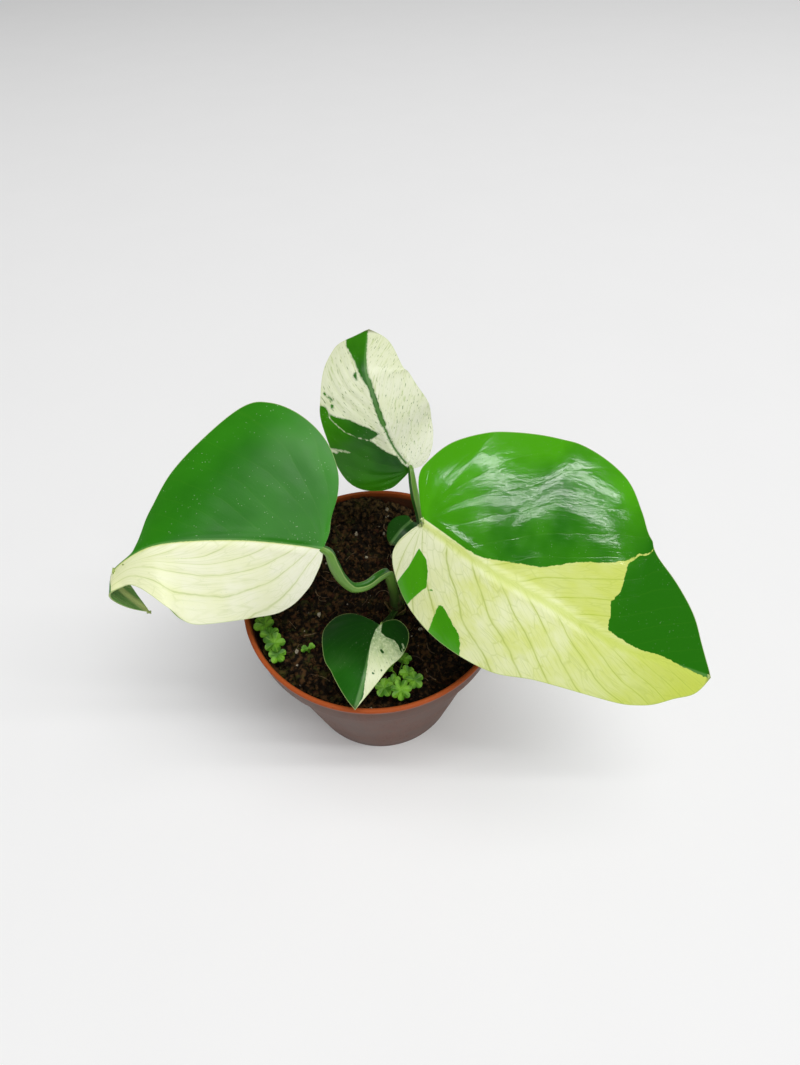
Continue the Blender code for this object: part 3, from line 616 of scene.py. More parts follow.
def activate(piece):
    """Select one object alone and make it active."""
    deselect()
    piece.select_set(True)
    bpy.context.view_layer.objects.active = piece


def named(name):
    """Name the object that was just added, and its mesh."""
    piece = bpy.context.active_object
    piece.name = name
    piece.data.name = name
    return piece


def modify(piece, kind, **settings):
    """Add a modifier, set it and apply it."""
    activate(piece)
    modifier = piece.modifiers.new(kind.title(), kind)
    for name, setting in settings.items():
        setattr(modifier, name, setting)
    bpy.ops.object.modifier_apply(modifier=modifier.name)


def edit(piece, operator, **settings):
    """Run one operator of edit mode on the whole of a piece."""
    activate(piece)
    bpy.ops.object.mode_set(mode='EDIT')
    bpy.ops.mesh.select_all(action='SELECT')
    operator(**settings)
    bpy.ops.object.mode_set(mode='OBJECT')


def weld(piece):
    """Merge corners that lie together."""
    edit(piece, bpy.ops.mesh.remove_doubles, threshold=WELD)


def join(pieces, name):
    """Make one object of several."""
    deselect()
    for piece in pieces:
        piece.select_set(True)
    bpy.context.view_layer.objects.active = pieces[0]
    bpy.ops.object.join()
    return named(name)


def shade(piece, degrees):
    """Smooth shading, with edges sharper than an angle kept."""
    activate(piece)
    bpy.ops.object.shade_smooth_by_angle(angle=math.radians(degrees))


def hand_over(piece, slot, *nodes, materials=()):
    """Give a piece its finish, tie it to the body and hide the imported nodes that it stands for."""
    if materials:
        piece.data.materials.clear()
        for material in materials:
            piece.data.materials.append(material)
    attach(piece, BODY)
    if nodes:
        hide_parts(*nodes)


def mapped_grid(name, columns, rows, place, kept=None):
    """A grid primitive whose corners go where place(u, v) says, with u and v from 0 to 1.

    kept(u, v) gives attributes: numbers or vectors, one for each corner.
    """
    deselect()
    bpy.ops.mesh.primitive_grid_add(x_subdivisions=columns, y_subdivisions=rows, size=1)
    piece = named(name)
    corners = np.empty(3 * len(piece.data.vertices))
    piece.data.vertices.foreach_get("co", corners)
    corners = corners.reshape(-1, 3)
    u = np.rint((corners[:, 0] + 0.5) * columns) / columns
    v = np.rint((corners[:, 1] + 0.5) * rows) / rows
    piece.data.vertices.foreach_set("co", place(u, v).ravel())
    for key, numbers in (kept(u, v) if kept else {}).items():
        vector = numbers.ndim == 2
        layer = piece.data.attributes.new(key, 'FLOAT_VECTOR' if vector else 'FLOAT', 'POINT')
        layer.data.foreach_set("vector" if vector else "value", numbers.astype(np.float32).ravel())
    piece.data.update()
    return piece


def turned(name, profile, sides):
    """A closed turned body: a ring drawn through (radius, height) points and closed at both ends."""
    deselect()
    radius, height = profile[0]
    bpy.ops.mesh.primitive_circle_add(vertices=sides, radius=radius, location=(0, 0, height),
                                      enter_editmode=True)
    for (before, below), (radius, height) in zip(profile, profile[1:]):
        bpy.ops.mesh.extrude_region_move(TRANSFORM_OT_translate={"value": (0, 0, height - below)})
        ratio = radius / before
        bpy.ops.transform.resize(value=(ratio, ratio, 1), center_override=(0, 0, height))
    close_ring()
    bpy.ops.mesh.select_all(action='DESELECT')
    bpy.ops.mesh.select_non_manifold()
    close_ring()
    piece = named(name)
    edit(piece, bpy.ops.mesh.normals_make_consistent, inside=False)
    bpy.ops.object.transform_apply(location=True, rotation=True, scale=True)
    return piece


def close_ring():
    """Fill the selected ring with triangles that meet in its middle."""
    bpy.ops.mesh.extrude_region_move(TRANSFORM_OT_translate={"value": (0, 0, 0)})
    bpy.ops.mesh.merge(type='CENTER')


def arc(centre, radius, start, end, steps):
    """Points of an arc in a profile, from one angle in degrees to another."""
    angles = [math.radians(start + (end - start) * step / steps) for step in range(steps + 1)]
    return [(centre[0] + radius * math.cos(a), centre[1] + radius * math.sin(a)) for a in angles]


def through_points(points, count):
    """Evenly spaced samples along a smooth curve through the given points."""
    given = np.asarray(points, dtype=float)
    padded = np.vstack([2 * given[0] - given[1], given, 2 * given[-1] - given[-2]])
    spans = len(given) - 1
    place = np.linspace(0, spans, SPAN_SAMPLES * spans + 1)
    span = np.minimum(place.astype(int), spans - 1)
    u = (place - span)[:, None]
    a, b, c, d = (padded[span + k] for k in range(4))
    dense = 0.5 * (2 * b + (c - a) * u + (2 * a - 5 * b + 4 * c - d) * u ** 2
                   + (3 * b - a - 3 * c + d) * u ** 3)
    travelled = np.concatenate([[0], np.cumsum(np.linalg.norm(np.diff(dense, axis=0), axis=1))])
    wanted = np.linspace(0, travelled[-1], count)
    return np.stack([np.interp(wanted, travelled, dense[:, k]) for k in range(dense.shape[1])], 1)


def unit(vectors):
    """Vectors made one long."""
    return vectors / np.linalg.norm(vectors, axis=-1, keepdims=True)


def smooth_step(numbers, low, high):
    """A soft step from 0 at low to 1 at high."""
    share = np.clip((numbers - low) / (high - low), 0, 1)
    return share * share * (3 - 2 * share)


def bell(numbers, width):
    """A bump of height 1 at 0."""
    return np.exp(-(numbers / width) ** 2)


def distance_to_lines(points, corners, closed=False):
    """Distance from each point to a chain of straight lines."""
    ends = corners[1:] + corners[:1] if closed else corners[1:]
    best = np.full(len(points), np.inf)
    for start, end in zip(np.array(corners, float), np.array(ends, float)):
        line = end - start
        share = np.clip(((points - start) @ line) / (line @ line), 0, 1)
        best = np.minimum(best, np.linalg.norm(points - start - share[:, None] * line, axis=1))
    return best


def inside_outline(points, corners):
    """Whether each point is inside a closed outline."""
    inside = np.zeros(len(points), bool)
    for (x0, y0), (x1, y1) in zip(corners, corners[1:] + corners[:1]):
        crosses = (points[:, 1] > y0) != (points[:, 1] > y1)
        with np.errstate(divide='ignore', invalid='ignore'):
            meet = x0 + (points[:, 1] - y0) * (x1 - x0) / (y1 - y0)
        inside ^= crosses & (points[:, 0] < meet)
    return inside


def green_depth(leaf, points):
    """How deep each flat point of a leaf lies in the green, in mm; below 0 it is in the cream."""
    depth = np.full(len(points), -99.0)
    for corners in leaf.green:
        away = distance_to_lines(points, corners, closed=True)
        depth = np.maximum(depth, np.where(inside_outline(points, corners), away, -away))
    for corners, width in leaf.green_lines:
        depth = np.maximum(depth, width - distance_to_lines(points, corners))
    for corners, width in leaf.pale_lines:
        depth = np.minimum(depth, distance_to_lines(points, corners) - width)
    return depth


def wander(along, out, width, seed):
    """Smooth noise of -1 to 1 over the flat points of a leaf."""
    return np.array([noise.noise(Vector((a / width, o / width, seed))) for a, o in zip(along, out)])


def vein_place(leaf, length, step, along, out, share):
    """Which side vein passes each flat point: each vein keeps the place where it leaves the midrib.

    The place is in mm of the reference leaf, and share is how near the point is to the margin.
    """
    scale = VEIN_REFERENCE / length
    x, y = along * scale, np.abs(out) * scale
    forward = (x - VEIN_LEAN * y - VEIN_BOW * y ** 2) / (1 + VEIN_GROWTH * y)
    turn = np.arctan2(y, x) - np.arctan2(1, VEIN_LEAN + VEIN_BOW * y)
    place = np.where(forward >= 0, forward, -VEIN_FAN * np.maximum(turn, 0))
    place += VEIN_SHIFT * (out > 0)
    if leaf.arched:
        arched = arched_foot(along, share)
        place = np.where(out >= 0, step * np.interp(arched, leaf.arched, range(len(leaf.arched))), place)
    return place + VEIN_WANDER * wander(along, out, 11, 5.0) * smooth_step(np.abs(out), 0, 5)


def arched_foot(along, share):
    """Where the arched vein through each flat point leaves the midrib, found by halving."""
    low, high = np.full(len(along), ARCH_START), along
    last, first = ARCH_CRESTS
    for _ in range(HALVINGS):
        middle = (low + high) / 2
        crest = last + first * np.exp(-middle / ARCH_FADE)
        beyond = crest * (1 - np.exp(-(along - middle) / ARCH_RISE)) > share
        low = np.where(beyond, middle, low)
        high = np.where(beyond, high, middle)
    return (low + high) / 2


class Blade:
    """The surface of one leaf: a bent midrib with a folded and curled half on each side."""

    def __init__(self, leaf):
        self.leaf = leaf
        self.spine = through_points(np.array(leaf.midrib) * MM, CURVE_SAMPLES)
        self.length = np.linalg.norm(np.diff(self.spine, axis=0), axis=1).sum()
        self.left = through_points(np.array(leaf.left) * MM, CURVE_SAMPLES)
        self.right = through_points(np.array(leaf.right) * MM, CURVE_SAMPLES)
        last = CURVE_SAMPLES - 1
        index = np.arange(CURVE_SAMPLES)
        ahead = self.spine[np.minimum(index + 1 + DIRECTION_SPAN, last)]
        behind = self.spine[np.maximum(index - DIRECTION_SPAN, 0)]
        padded = np.pad(unit(ahead - behind), ((DIRECTION_EASE // 2,) * 2, (0, 0)), mode='edge')
        window = np.ones(DIRECTION_EASE) / DIRECTION_EASE
        self.direction = np.stack([np.convolve(padded[:, k], window, 'valid') for k in range(3)], 1)

    def along_spine(self, table, place):
        """A table of the midrib's samples read between them."""
        index = np.arange(len(table))
        return np.stack([np.interp(place, index, table[:, k]) for k in range(3)], 1)

    def frame(self, along):
        """Point, normal, left side and share travelled, for each distance along the midrib."""
        inside = np.clip(along, 0, self.length)
        share = (inside / self.length)[:, None]
        place = share[:, 0] * (CURVE_SAMPLES - 1)
        direction = unit(self.along_spine(self.direction, place))
        normal = np.array(self.leaf.face[0]) * (1 - share) + np.array(self.leaf.face[1]) * share
        normal = unit(normal - direction * (normal * direction).sum(1, keepdims=True))
        degrees, start, full = self.leaf.twist
        angle = (math.radians(degrees) * smooth_step(inside / MM, start, full))[:, None]
        normal = normal * np.cos(angle) + np.cross(direction, normal) * np.sin(angle)
        point = self.along_spine(self.spine, place) + direction * (along - inside)[:, None]
        return point, normal, np.cross(normal, direction), share[:, 0]

    def at(self, along, out):
        """Where flat points of the blade are in space; out is positive on the left."""
        point, normal, left, share = self.frame(along)
        side = np.where(out >= 0, 1, -1)
        which = np.where(out >= 0, 0, 1)
        stalk_fold, tip_fold = np.array(self.leaf.fold)[:, which]
        start = np.radians(stalk_fold * (1 - share) + tip_fold * share)
        bend = np.radians(np.array(self.leaf.curl)[which]) / (self.leaf.curl_width * MM)
        reach = np.abs(out)
        lateral = (np.sin(start + bend * reach) - np.sin(start)) / bend
        drop = (np.cos(start) - np.cos(start + bend * reach)) / bend
        return point + left * (side * lateral)[:, None] - normal * drop[:, None]

    def flat(self, u, v):
        """Flat point and distance to the margin for a grid place: u to the tip, v across."""
        t = 2 * v - 1
        share = np.abs(t)
        place = u * (CURVE_SAMPLES - 1)
        index = np.arange(CURVE_SAMPLES)
        edge = [np.where(t >= 0, np.interp(place, index, self.left[:, k]),
                         np.interp(place, index, self.right[:, k])) for k in range(2)]
        along = self.length * u ** RULING_POWER * (1 - share) + edge[0] * share
        width = np.maximum(edge[1], 0)
        return along, width * t, width * (1 - share)


def leaf_relief(leaf, length, step, along, out, margin, vein):
    """Height of grooves and swellings over the smooth blade, all in mm."""
    off_vein = np.abs((vein / step + 0.5) % 1 - 0.5) * step
    shrink = length / VEIN_REFERENCE
    base = smooth_step(np.hypot(along, out), 1.0, 7.0 * shrink)
    open_field = base * smooth_step(np.abs(out), 1.0, 8.0 * shrink) * smooth_step(margin, 0, 5 * shrink)
    taper = base * (1 - 0.7 * np.clip(along / length, 0, 1))
    groove = leaf.groove * shrink ** 0.5
    height = -groove * taper * bell(out, GROOVE_WIDTH * shrink ** 0.5)
    ridge = bell(np.abs(out) - RIDGE_PLACE * shrink, RIDGE_WIDTH * shrink)
    height += RIDGE_SHARE * groove * taper * ridge
    uneven = 0.75 + 0.6 * wander(along, out, 16, 3.1)
    height -= 0.2 * leaf.swell * open_field * uneven * bell(off_vein, 0.7)
    height += leaf.swell * open_field * uneven * np.sin(np.pi * vein / step) ** 2
    rolling = wander(along, out, 13, 8.7) + 0.4 * wander(along, out, 5, 1.3)
    height -= leaf.droop * np.maximum(0, DROOP_WIDTH - margin) ** 2 / (2 * DROOP_WIDTH)
    return height + leaf.roll * rolling * base * smooth_step(margin, 0, 8)


def leaf_blade(leaf, size, materials):
    """One blade: a grid laid over the surface, raised by its relief and given its thickness."""
    blade = Blade(leaf)

    def place(u, v):
        along, out, _ = blade.flat(u, v)
        return blade.at(along, out)

    def kept(u, v):
        along, out, margin = (distance / MM for distance in blade.flat(u, v))
        flat = np.stack([along, out, np.zeros_like(out)], 1)
        length, step = blade.length / MM, size.vein_step / MM
        vein = vein_place(leaf, length, step, along, out, np.abs(2 * v - 1))
        base = smooth_step(np.hypot(along, out), 0.4, 4.0)
        rib = bell(out * MM / size.midrib_width, 1.0) * base * (1 - 0.8 * u)
        lift = leaf_relief(leaf, length, step, along, out, margin, vein) * MM
        return {"flat": flat, "green": green_depth(leaf, flat[:, :2]), "vein": vein,
                "margin": margin, "rib": rib, "lift": lift}

    piece = mapped_grid(leaf.name + "_blade", leaf.rows, 2 * leaf.columns, place, kept)
    for material in materials:
        piece.data.materials.append(material)
    weld(piece)
    raise_by_attribute(piece, "lift")
    thicken_by_attribute(piece, "rib", size.blade, size.midrib)
    shade(piece, 60)
    hand_over(piece, "leaf", leaf.name)


def raise_by_attribute(piece, key):
    """Move each corner along its normal by the number that the mesh keeps for it."""
    mesh = piece.data
    count = len(mesh.vertices)
    lift, spot, normal = np.empty(count), np.empty(3 * count), np.empty(3 * count)
    mesh.attributes[key].data.foreach_get("value", lift)
    mesh.vertices.foreach_get("co", spot)
    mesh.vertex_normals.foreach_get("vector", normal)
    mesh.vertices.foreach_set("co", spot + np.repeat(lift, 3) * normal)
    mesh.attributes.remove(mesh.attributes[key])
    mesh.update()


def thicken_by_attribute(piece, key, thin, thick):
    """Give a sheet its thickness below: thick where the kept number is 1, thin where it is 0."""
    mesh = piece.data
    share = np.empty(len(mesh.vertices))
    mesh.attributes[key].data.foreach_get("value", share)
    group = piece.vertex_groups.new(name="thickness")
    for index, weight in enumerate(share):
        group.add([index], float(weight), 'REPLACE')
    mesh.attributes.remove(mesh.attributes[key])
    modify(piece, 'SOLIDIFY', thickness=thick, offset=-1, vertex_group=group.name,
           thickness_vertex_group=thin / thick, material_offset=1, material_offset_rim=2)
    piece.vertex_groups.clear()


def leaf_pattern(finish, leaf):
    """What both faces of a leaf read: flat place, depth in the green, share of green, vein place."""
    flat = finish.attribute("flat", 1)
    ragged = (finish.noise(flat, 1.3) - 0.5) * leaf.jag * 1.4
    ragged = ragged + (finish.noise(flat, 0.4) - 0.5) * 0.5 * leaf.jag
    calm = finish.part(flat, 0).size().rise(3.0, 16.0)
    depth = finish.attribute("green")
    green = (depth + ragged * calm).rise(-0.08, 0.1)
    return flat, depth, green, finish.attribute("vein")


def blade_length(leaf):
    """The length of the midrib in mm, which is where the outline ends."""
    return leaf.left[-1][0]


def leaf_top(leaf, size):
    """The glossy upper face: green patches and veined cream."""
    finish = Finish(leaf.name + "_top")
    flat, depth, green, vein = leaf_pattern(finish, leaf)
    along, out = finish.part(flat, 0), finish.part(flat, 1)
    margin = finish.attribute("margin")
    step = size.vein_step / MM
    waver = vein + (finish.noise(flat, 4.0, 3.0) - 0.5) * 0.9
    drawn = finish.joined(waver, out * 0.8)
    main_vein = (1 - waver.apart(step).rise(0.05, 0.42)) * out.size().rise(0.5, 2.6)
    cream = cream_colour(finish, leaf, size, (flat, along, out, waver, drawn, main_vein))
    if leaf.flecks:
        cream = fleck_cream(finish, leaf, cream, vein, out)
    if leaf.haze:
        reach = (depth / leaf.haze + 1).rise(0.0, 1.0) * finish.noise(flat, 1.1, 4.0, 0.7).rise(0.3, 0.6)
        reach = reach * (1 - along.rise(0.3 * leaf.haze_end, leaf.haze_end))
        cream = finish.mix(reach * 0.8, cream, rgb(104, 142, 84))
    tone = (1 - margin.rise(1.0, 17.0)) * 0.65 + finish.noise(flat, 12.0, 2.0).rise(0.3, 0.7) * 0.35
    if leaf.bright_span[1] >= 0:
        tone = tone * along.rise(*leaf.bright_span)
    if leaf.bright_base:
        tone = tone + (1 - along.rise(2.0, 24.0)) * leaf.bright_base
    leaf_green = finish.over(rgb(*leaf.deep), (tone, rgb(*leaf.fresh)),
                             (main_vein * 0.05, rgb(96, 160, 40)),
                             ((1 - out.size().rise(0.3, 0.8)) * 0.3, rgb(132, 182, 104)))
    tip = along.rise(blade_length(leaf) - 1.8, blade_length(leaf) - 0.2)
    lint = 1 - finish.cells(flat, 0.9).rise(0.07, 0.16)
    lint = lint * finish.noise(flat, 6.0, 3.0, 0.7).rise(0.48, 0.6)
    colour = finish.over(cream, (green, leaf_green), (tip * 0.8, rgb(58, 52, 18)),
                         ((1 - margin.rise(0.08, 0.28)) * leaf.edged, size.rim_colour),
                         (lint * 0.6 * leaf.dust, rgb(196, 218, 180)))
    crinkle = finish.noise(drawn, 2.6, 3.0, 0.6)
    streaks = finish.noise(finish.joined(vein * 1.3, out * 0.35), 0.9, 2.0)
    grain = finish.noise(flat, 0.45, 2.0)
    height = crinkle * 0.7 + streaks * 0.22 + grain * 0.08 - main_vein * 0.12
    rough = leaf.rough + finish.noise(flat, 3.0, 3.0) * 0.12
    return finish.done(colour, rough, height, 0.05 * MM, specular=leaf.gloss)


def cream_colour(finish, leaf, size, places):
    """Cream that is paler at the stalk and riper at the tip, with veins and a fine net."""
    flat, along, out, waver, drawn, main_vein = places
    step = size.vein_step / MM
    length = blade_length(leaf)
    cloud = finish.noise(flat, 11.0, 3.0).rise(0.35, 0.68)
    mottle = finish.noise(drawn, 2.2, 4.0, 0.65).rise(0.3, 0.75)
    cream = finish.over(rgb(*leaf.cream), (cloud * 0.5 + mottle * 0.25, rgb(*leaf.pale)),
                        (along.rise(0.4 * length, 0.95 * length) * 0.9, rgb(*leaf.ripe)),
                        # Paler towards the stalk; on the right leaf this is partly painted light on its
                        # shaded lobe.
                        ((1 - along.rise(2.0, 0.2 * length)) * 0.8, rgb(*leaf.pale)))
    if leaf.left_ripe:
        cream = finish.mix(out.rise(0.5, 4.0) * leaf.left_ripe, cream, rgb(*leaf.ripe))
    if leaf.band:
        band = 1 - out.size().rise(0.1 * leaf.band, leaf.band)
        cream = finish.mix(band * 0.65, cream, size.midrib_colour)
    beside = 1 - waver.apart(step).rise(0.1, 1.6)
    cream = finish.mix(beside * 0.22 * leaf.veined, cream, size.midrib_colour)
    fine_vein = 1 - waver.apart(step / 4).rise(0.02, 0.25)
    net = 1 - finish.cells(drawn, 2.6, 'DISTANCE_TO_EDGE').rise(0.0, 0.07)
    strength = finish.noise(flat, 6.0).rise(0.25, 0.6)
    lines = (main_vein * (0.5 + strength * 0.5)).most(net * strength * 0.42)
    lines = lines.most(fine_vein * strength * 0.25)
    return finish.mix(lines * 0.62 * leaf.veined, cream, size.vein_colour)


def fleck_cream(finish, leaf, cream, vein, out):
    """Green flecks drawn out along the veins, each in a yellowish halo."""
    drawn = finish.joined(vein * 0.8, out * 0.75)
    speck = finish.noise(drawn, 0.8, 2.0, 0.55)
    blotch = finish.noise(drawn, 1.9, 3.0, 0.6)
    return finish.over(cream, (blotch.rise(0.55, 0.7) * 0.5 * leaf.flecks, rgb(164, 186, 92)),
                       (speck.rise(0.6, 0.68) * 0.6 * leaf.flecks, rgb(150, 172, 92)),
                       (speck.rise(0.66, 0.71) * leaf.flecks, rgb(74, 110, 36)))


def leaf_under(leaf, size):
    """The duller lower face, with the same patches washed out and raised veins."""
    finish = Finish(leaf.name + "_under")
    flat, _, green, vein = leaf_pattern(finish, leaf)
    main_vein = 1 - vein.apart(size.vein_step / MM).rise(0.1, 0.5)
    out = finish.part(flat, 1)
    net = 1 - finish.cells(finish.joined(vein, out * 0.8), 3.0, 'DISTANCE_TO_EDGE').rise(0.0, 0.06)
    mottle = finish.noise(flat, 4.0, 4.0, 0.6)
    cream = finish.mix(mottle, size.under_cream, rgb(*leaf.pale))
    dull = finish.mix(mottle, size.under_green, rgb(104, 152, 72))
    colour = finish.over(cream, (green, dull), ((main_vein * 0.6).most(net * 0.3), rgb(168, 190, 112)),
                         (1 - out.size().rise(0.5, 1.3), rgb(178, 198, 118)))
    height = main_vein * 0.6 + net * 0.3 + mottle * 0.2
    return finish.done(colour, 0.5 + mottle * 0.12, height, 0.15 * MM)


def leaf_rim(size):
    """The thin pale margin of the blades."""
    finish = Finish("leaf_rim")
    tone = finish.noise(finish.place(), 3.0, 2.0)
    colour = finish.mix(tone, size.rim_colour, rgb(136, 168, 84))
    return finish.done(colour, 0.4 + tone * 0.1, tone, 0.02 * MM)


def pot_inside(pot):
    """Height of the band's lower edge; inner radii of the band and of the body's top and foot."""
    return (pot.height - pot.band_height, pot.rim_radius - pot.rim_thickness - ROUND_EDGE,
            pot.body_top_radius - pot.wall, pot.base_radius - pot.wall)


def pot_profile(size):
    """The pot's section as (radius, height), from the foot up the outside and down the inside."""
    lip = size.rim_thickness / 2
    shoulder, inside_band, inside_top, inside_foot = pot_inside(size)
    groove_radius = size.rim_radius - LIP_STEP
    foot = arc((size.base_radius - FOOT_EDGE, FOOT_EDGE), FOOT_EDGE, -90, -8, 4)
    body = [(size.base_radius + (size.body_top_radius - size.base_radius) * share,
             FOOT_EDGE + (shoulder - FOOT_EDGE) * share) for share in BODY_SHARES]
    body[0] = (body[0][0] - FOOT_LINE, body[0][1])
    band = arc((size.band_foot_radius - ROUND_EDGE, shoulder + ROUND_EDGE), ROUND_EDGE, -90, 0, 4)
    under_lip = [(groove_radius - 0.06 * MM, size.height - 2 * size.rim_thickness),
                 (groove_radius, size.height - 1.25 * size.rim_thickness)]
    top = arc((size.rim_radius - lip, size.height - lip), lip, -35, 180, 12)
    inside = [(inside_band + 0.1 * MM, size.height - 2 * size.rim_thickness),
              (inside_band, shoulder + size.wall), (inside_top, shoulder - size.wall),
              (inside_foot + 0.3 * MM, size.wall + 2 * ROUND_EDGE), (inside_foot - 0.5 * MM, size.wall)]
    return foot + body + band + under_lip + top + inside


def drain_cutter(index, size):
    """One drain hole's cutter in the floor of the pot."""
    turn = math.tau * (index + 0.5) / DRAIN_HOLES
    deselect()
    bpy.ops.mesh.primitive_cylinder_add(
        vertices=32, radius=DRAIN_RADIUS, depth=4 * size.wall,
        location=(DRAIN_CIRCLE * math.cos(turn), DRAIN_CIRCLE * math.sin(turn), 0))
    return named("drain_cutter")


def pot_finish(size):
    """Moulded terracotta coloured plastic, marked below; the sides are painted darker and greyer than the
    lip as painted shade, and the lip lighter as lit from above.
    """
    finish = Finish("pot_plastic")
    place = finish.place()
    height_mm = finish.part(place, 2)
    lip = height_mm.rise(size.height / MM - 2.6, size.height / MM - 1.2)
    cloud = finish.noise(place, 14.0, 4.0, 0.6)
    streak = finish.noise(finish.scaled(place, (1, 1, 0.12)), 1.6, 3.0)
    speck = finish.noise(place, 0.7, 3.0, 0.7)
    mottle = cloud.rise(0.3, 0.7) * 0.1 + streak.rise(0.35, 0.7) * 0.05
    splash = speck.rise(0.58, 0.7) * cloud.rise(0.45, 0.62)
    dried = finish.noise(place, 5.0, 4.0, 0.7).rise(0.55, 0.75) * (1 - lip * 0.8) * 0.45
    scuff = finish.noise(finish.scaled(place, (1, 1, 3)), 0.9, 4.0, 0.75).rise(0.62, 0.72) * 0.25
    # The lip keeps the lit terracotta; below it the darker body colour paints shade on the sides.
    colour = finish.over(size.shaded_body_colour, (mottle, size.lip_colour), (lip, size.lip_colour),
                         (splash.most(dried) * 0.7, size.soil_mark_colour), (scuff, rgb(206, 142, 110)))
    rough = 0.36 + cloud * 0.12 + splash * 0.3 + scuff * 0.2
    height = speck * 0.35 + streak * 0.4 + splash * 0.25
    return finish.done(colour, rough, height, 0.04 * MM, specular=0.1)


def soil_height(size, x, y):
    """Height of the bumpy surface over a point of the pot."""
    coarse = noise.noise(Vector((x, y, 0)) / size.bump)
    fine = noise.noise(Vector((x, y, 7 * size.bump)) / (size.bump * 0.4))
    away = math.hypot(x - size.bank_top[0], y - size.bank_top[1])
    bank = size.bank_height * math.exp(-(away / size.bank_reach) ** 2)
    return size.level + size.relief * (coarse + 0.6 * fine) + bank


def soil_bed(size, pot):
    """The body of the soil: a turned plug with a crumbly top."""
    shoulder, inside_band, inside_top, inside_foot = pot_inside(pot)
    top_radius = inside_band - size.gap
    floor = pot.wall + size.gap
    profile = [(top_radius * ring / SOIL_RING_COUNT, size.level) for ring in range(SOIL_RING_COUNT + 1)]
    profile += [(top_radius, shoulder + pot.wall + size.gap),
                (inside_top - size.gap, shoulder - pot.wall + size.gap),
                (inside_foot - size.gap, floor + MM),
                (inside_foot - 0.5 * MM - size.gap, floor), (0, floor)]
    radii, heights = np.array(profile).T
    steps = len(profile) - 1

    def place(u, v):
        ring = np.rint(u * steps).astype(int)
        angle = math.tau * v
        x, y, z = radii[ring] * np.cos(angle), radii[ring] * np.sin(angle), heights[ring].copy()
        for index in np.nonzero(ring <= SOIL_RING_COUNT)[0]:
            spot = Vector((x[index], y[index], 0.02))
            clod = noise.turbulence(spot / CLOD_WIDTH, 3, False) - 0.5
            z[index] = soil_height(size, x[index], y[index]) + CLOD_HEIGHT * clod
        return np.stack([x, y, z], 1)

    piece = mapped_grid("soil_bed", steps, SOIL_SIDES, place)
    weld(piece)
    shade(piece, 50)
    return piece


def crumb_shape(index, faces_level):
    """One rough crumb, about 1 in radius, round the origin."""
    deselect()
    bpy.ops.mesh.primitive_ico_sphere_add(subdivisions=faces_level, radius=1)
    crumb = named(f"crumb_shape_{faces_level}_{index}")
    for vertex in crumb.data.vertices:
        away = noise.noise(vertex.co * 1.3 + Vector((index * 7.3, 0, 0)))
        vertex.co *= 1 + CRUMB_ROUGHNESS * away
    return crumb


def scattered(name, shapes, places):
    """Copies of the shapes, one at each place, joined; a place is (shape number, matrix)."""
    copies = []
    for number, matrix in places:
        copy = bpy.data.objects.new(name, shapes[number].data.copy())
        copy.data.transform(matrix)
        bpy.context.scene.collection.objects.link(copy)
        copies.append(copy)
    for shape in shapes:
        bpy.data.objects.remove(shape, do_unlink=True)
    return join(copies, name)


def on_soil(size, chance, radius, reach):
    """A random place on the soil within a reach of the middle, for a crumb of a radius."""
    distance = (reach - 1.3 * radius) * math.sqrt(chance.random())
    angle = chance.uniform(0, math.tau)
    x, y = distance * math.cos(angle), distance * math.sin(angle)
    return x, y, soil_height(size, x, y)


def crumb_places(size, chance, count, radii, reach, lift=CRUMB_LIFT):
    """Random places, turns and sizes for crumbs that lie on the soil."""
    places = []
    for _ in range(count):
        radius = radii[0] + (radii[1] - radii[0]) * chance.random() ** 2
        x, y, z = on_soil(size, chance, radius, reach)
        stretch = Matrix.Diagonal((chance.uniform(0.7, 1.25) * radius, chance.uniform(0.7, 1.25) * radius,
                                   0.8 * radius, 1))
        axis = Vector((chance.uniform(-1, 1), chance.uniform(-1, 1), chance.uniform(0.2, 1)))
        turn = Matrix.Rotation(chance.uniform(0, math.tau), 4, axis)
        spot = Matrix.Translation((x, y, z + lift * radius))
        places.append((chance.randrange(CRUMB_SHAPES), spot @ turn @ stretch))
    return places


def heaped_places(size, chance, reach):
    """Places, turns and sizes for the lumps that are piled up to the lip at the back."""
    places = []
    middle = math.atan2(size.bank_top[1], size.bank_top[0])
    for _ in range(size.heaped):
        radius = chance.uniform(*HEAPED_RADII) * MM
        angle = middle + chance.gauss(0, HEAPED_SPREAD)
        distance = reach - 1.1 * radius - abs(chance.gauss(0, HEAPED_DEPTH)) * MM
        x, y = distance * math.cos(angle), distance * math.sin(angle)
        z = soil_height(size, x, y) + chance.uniform(0.0, HEAPED_RISE) * MM
        turn = Matrix.Rotation(chance.uniform(0, math.tau), 4, 'Z')
        squash = Matrix.Diagonal((radius, radius * chance.uniform(0.7, 1), 0.8 * radius, 1))
        places.append((chance.randrange(CRUMB_SHAPES), Matrix.Translation((x, y, z)) @ turn @ squash))
    return places


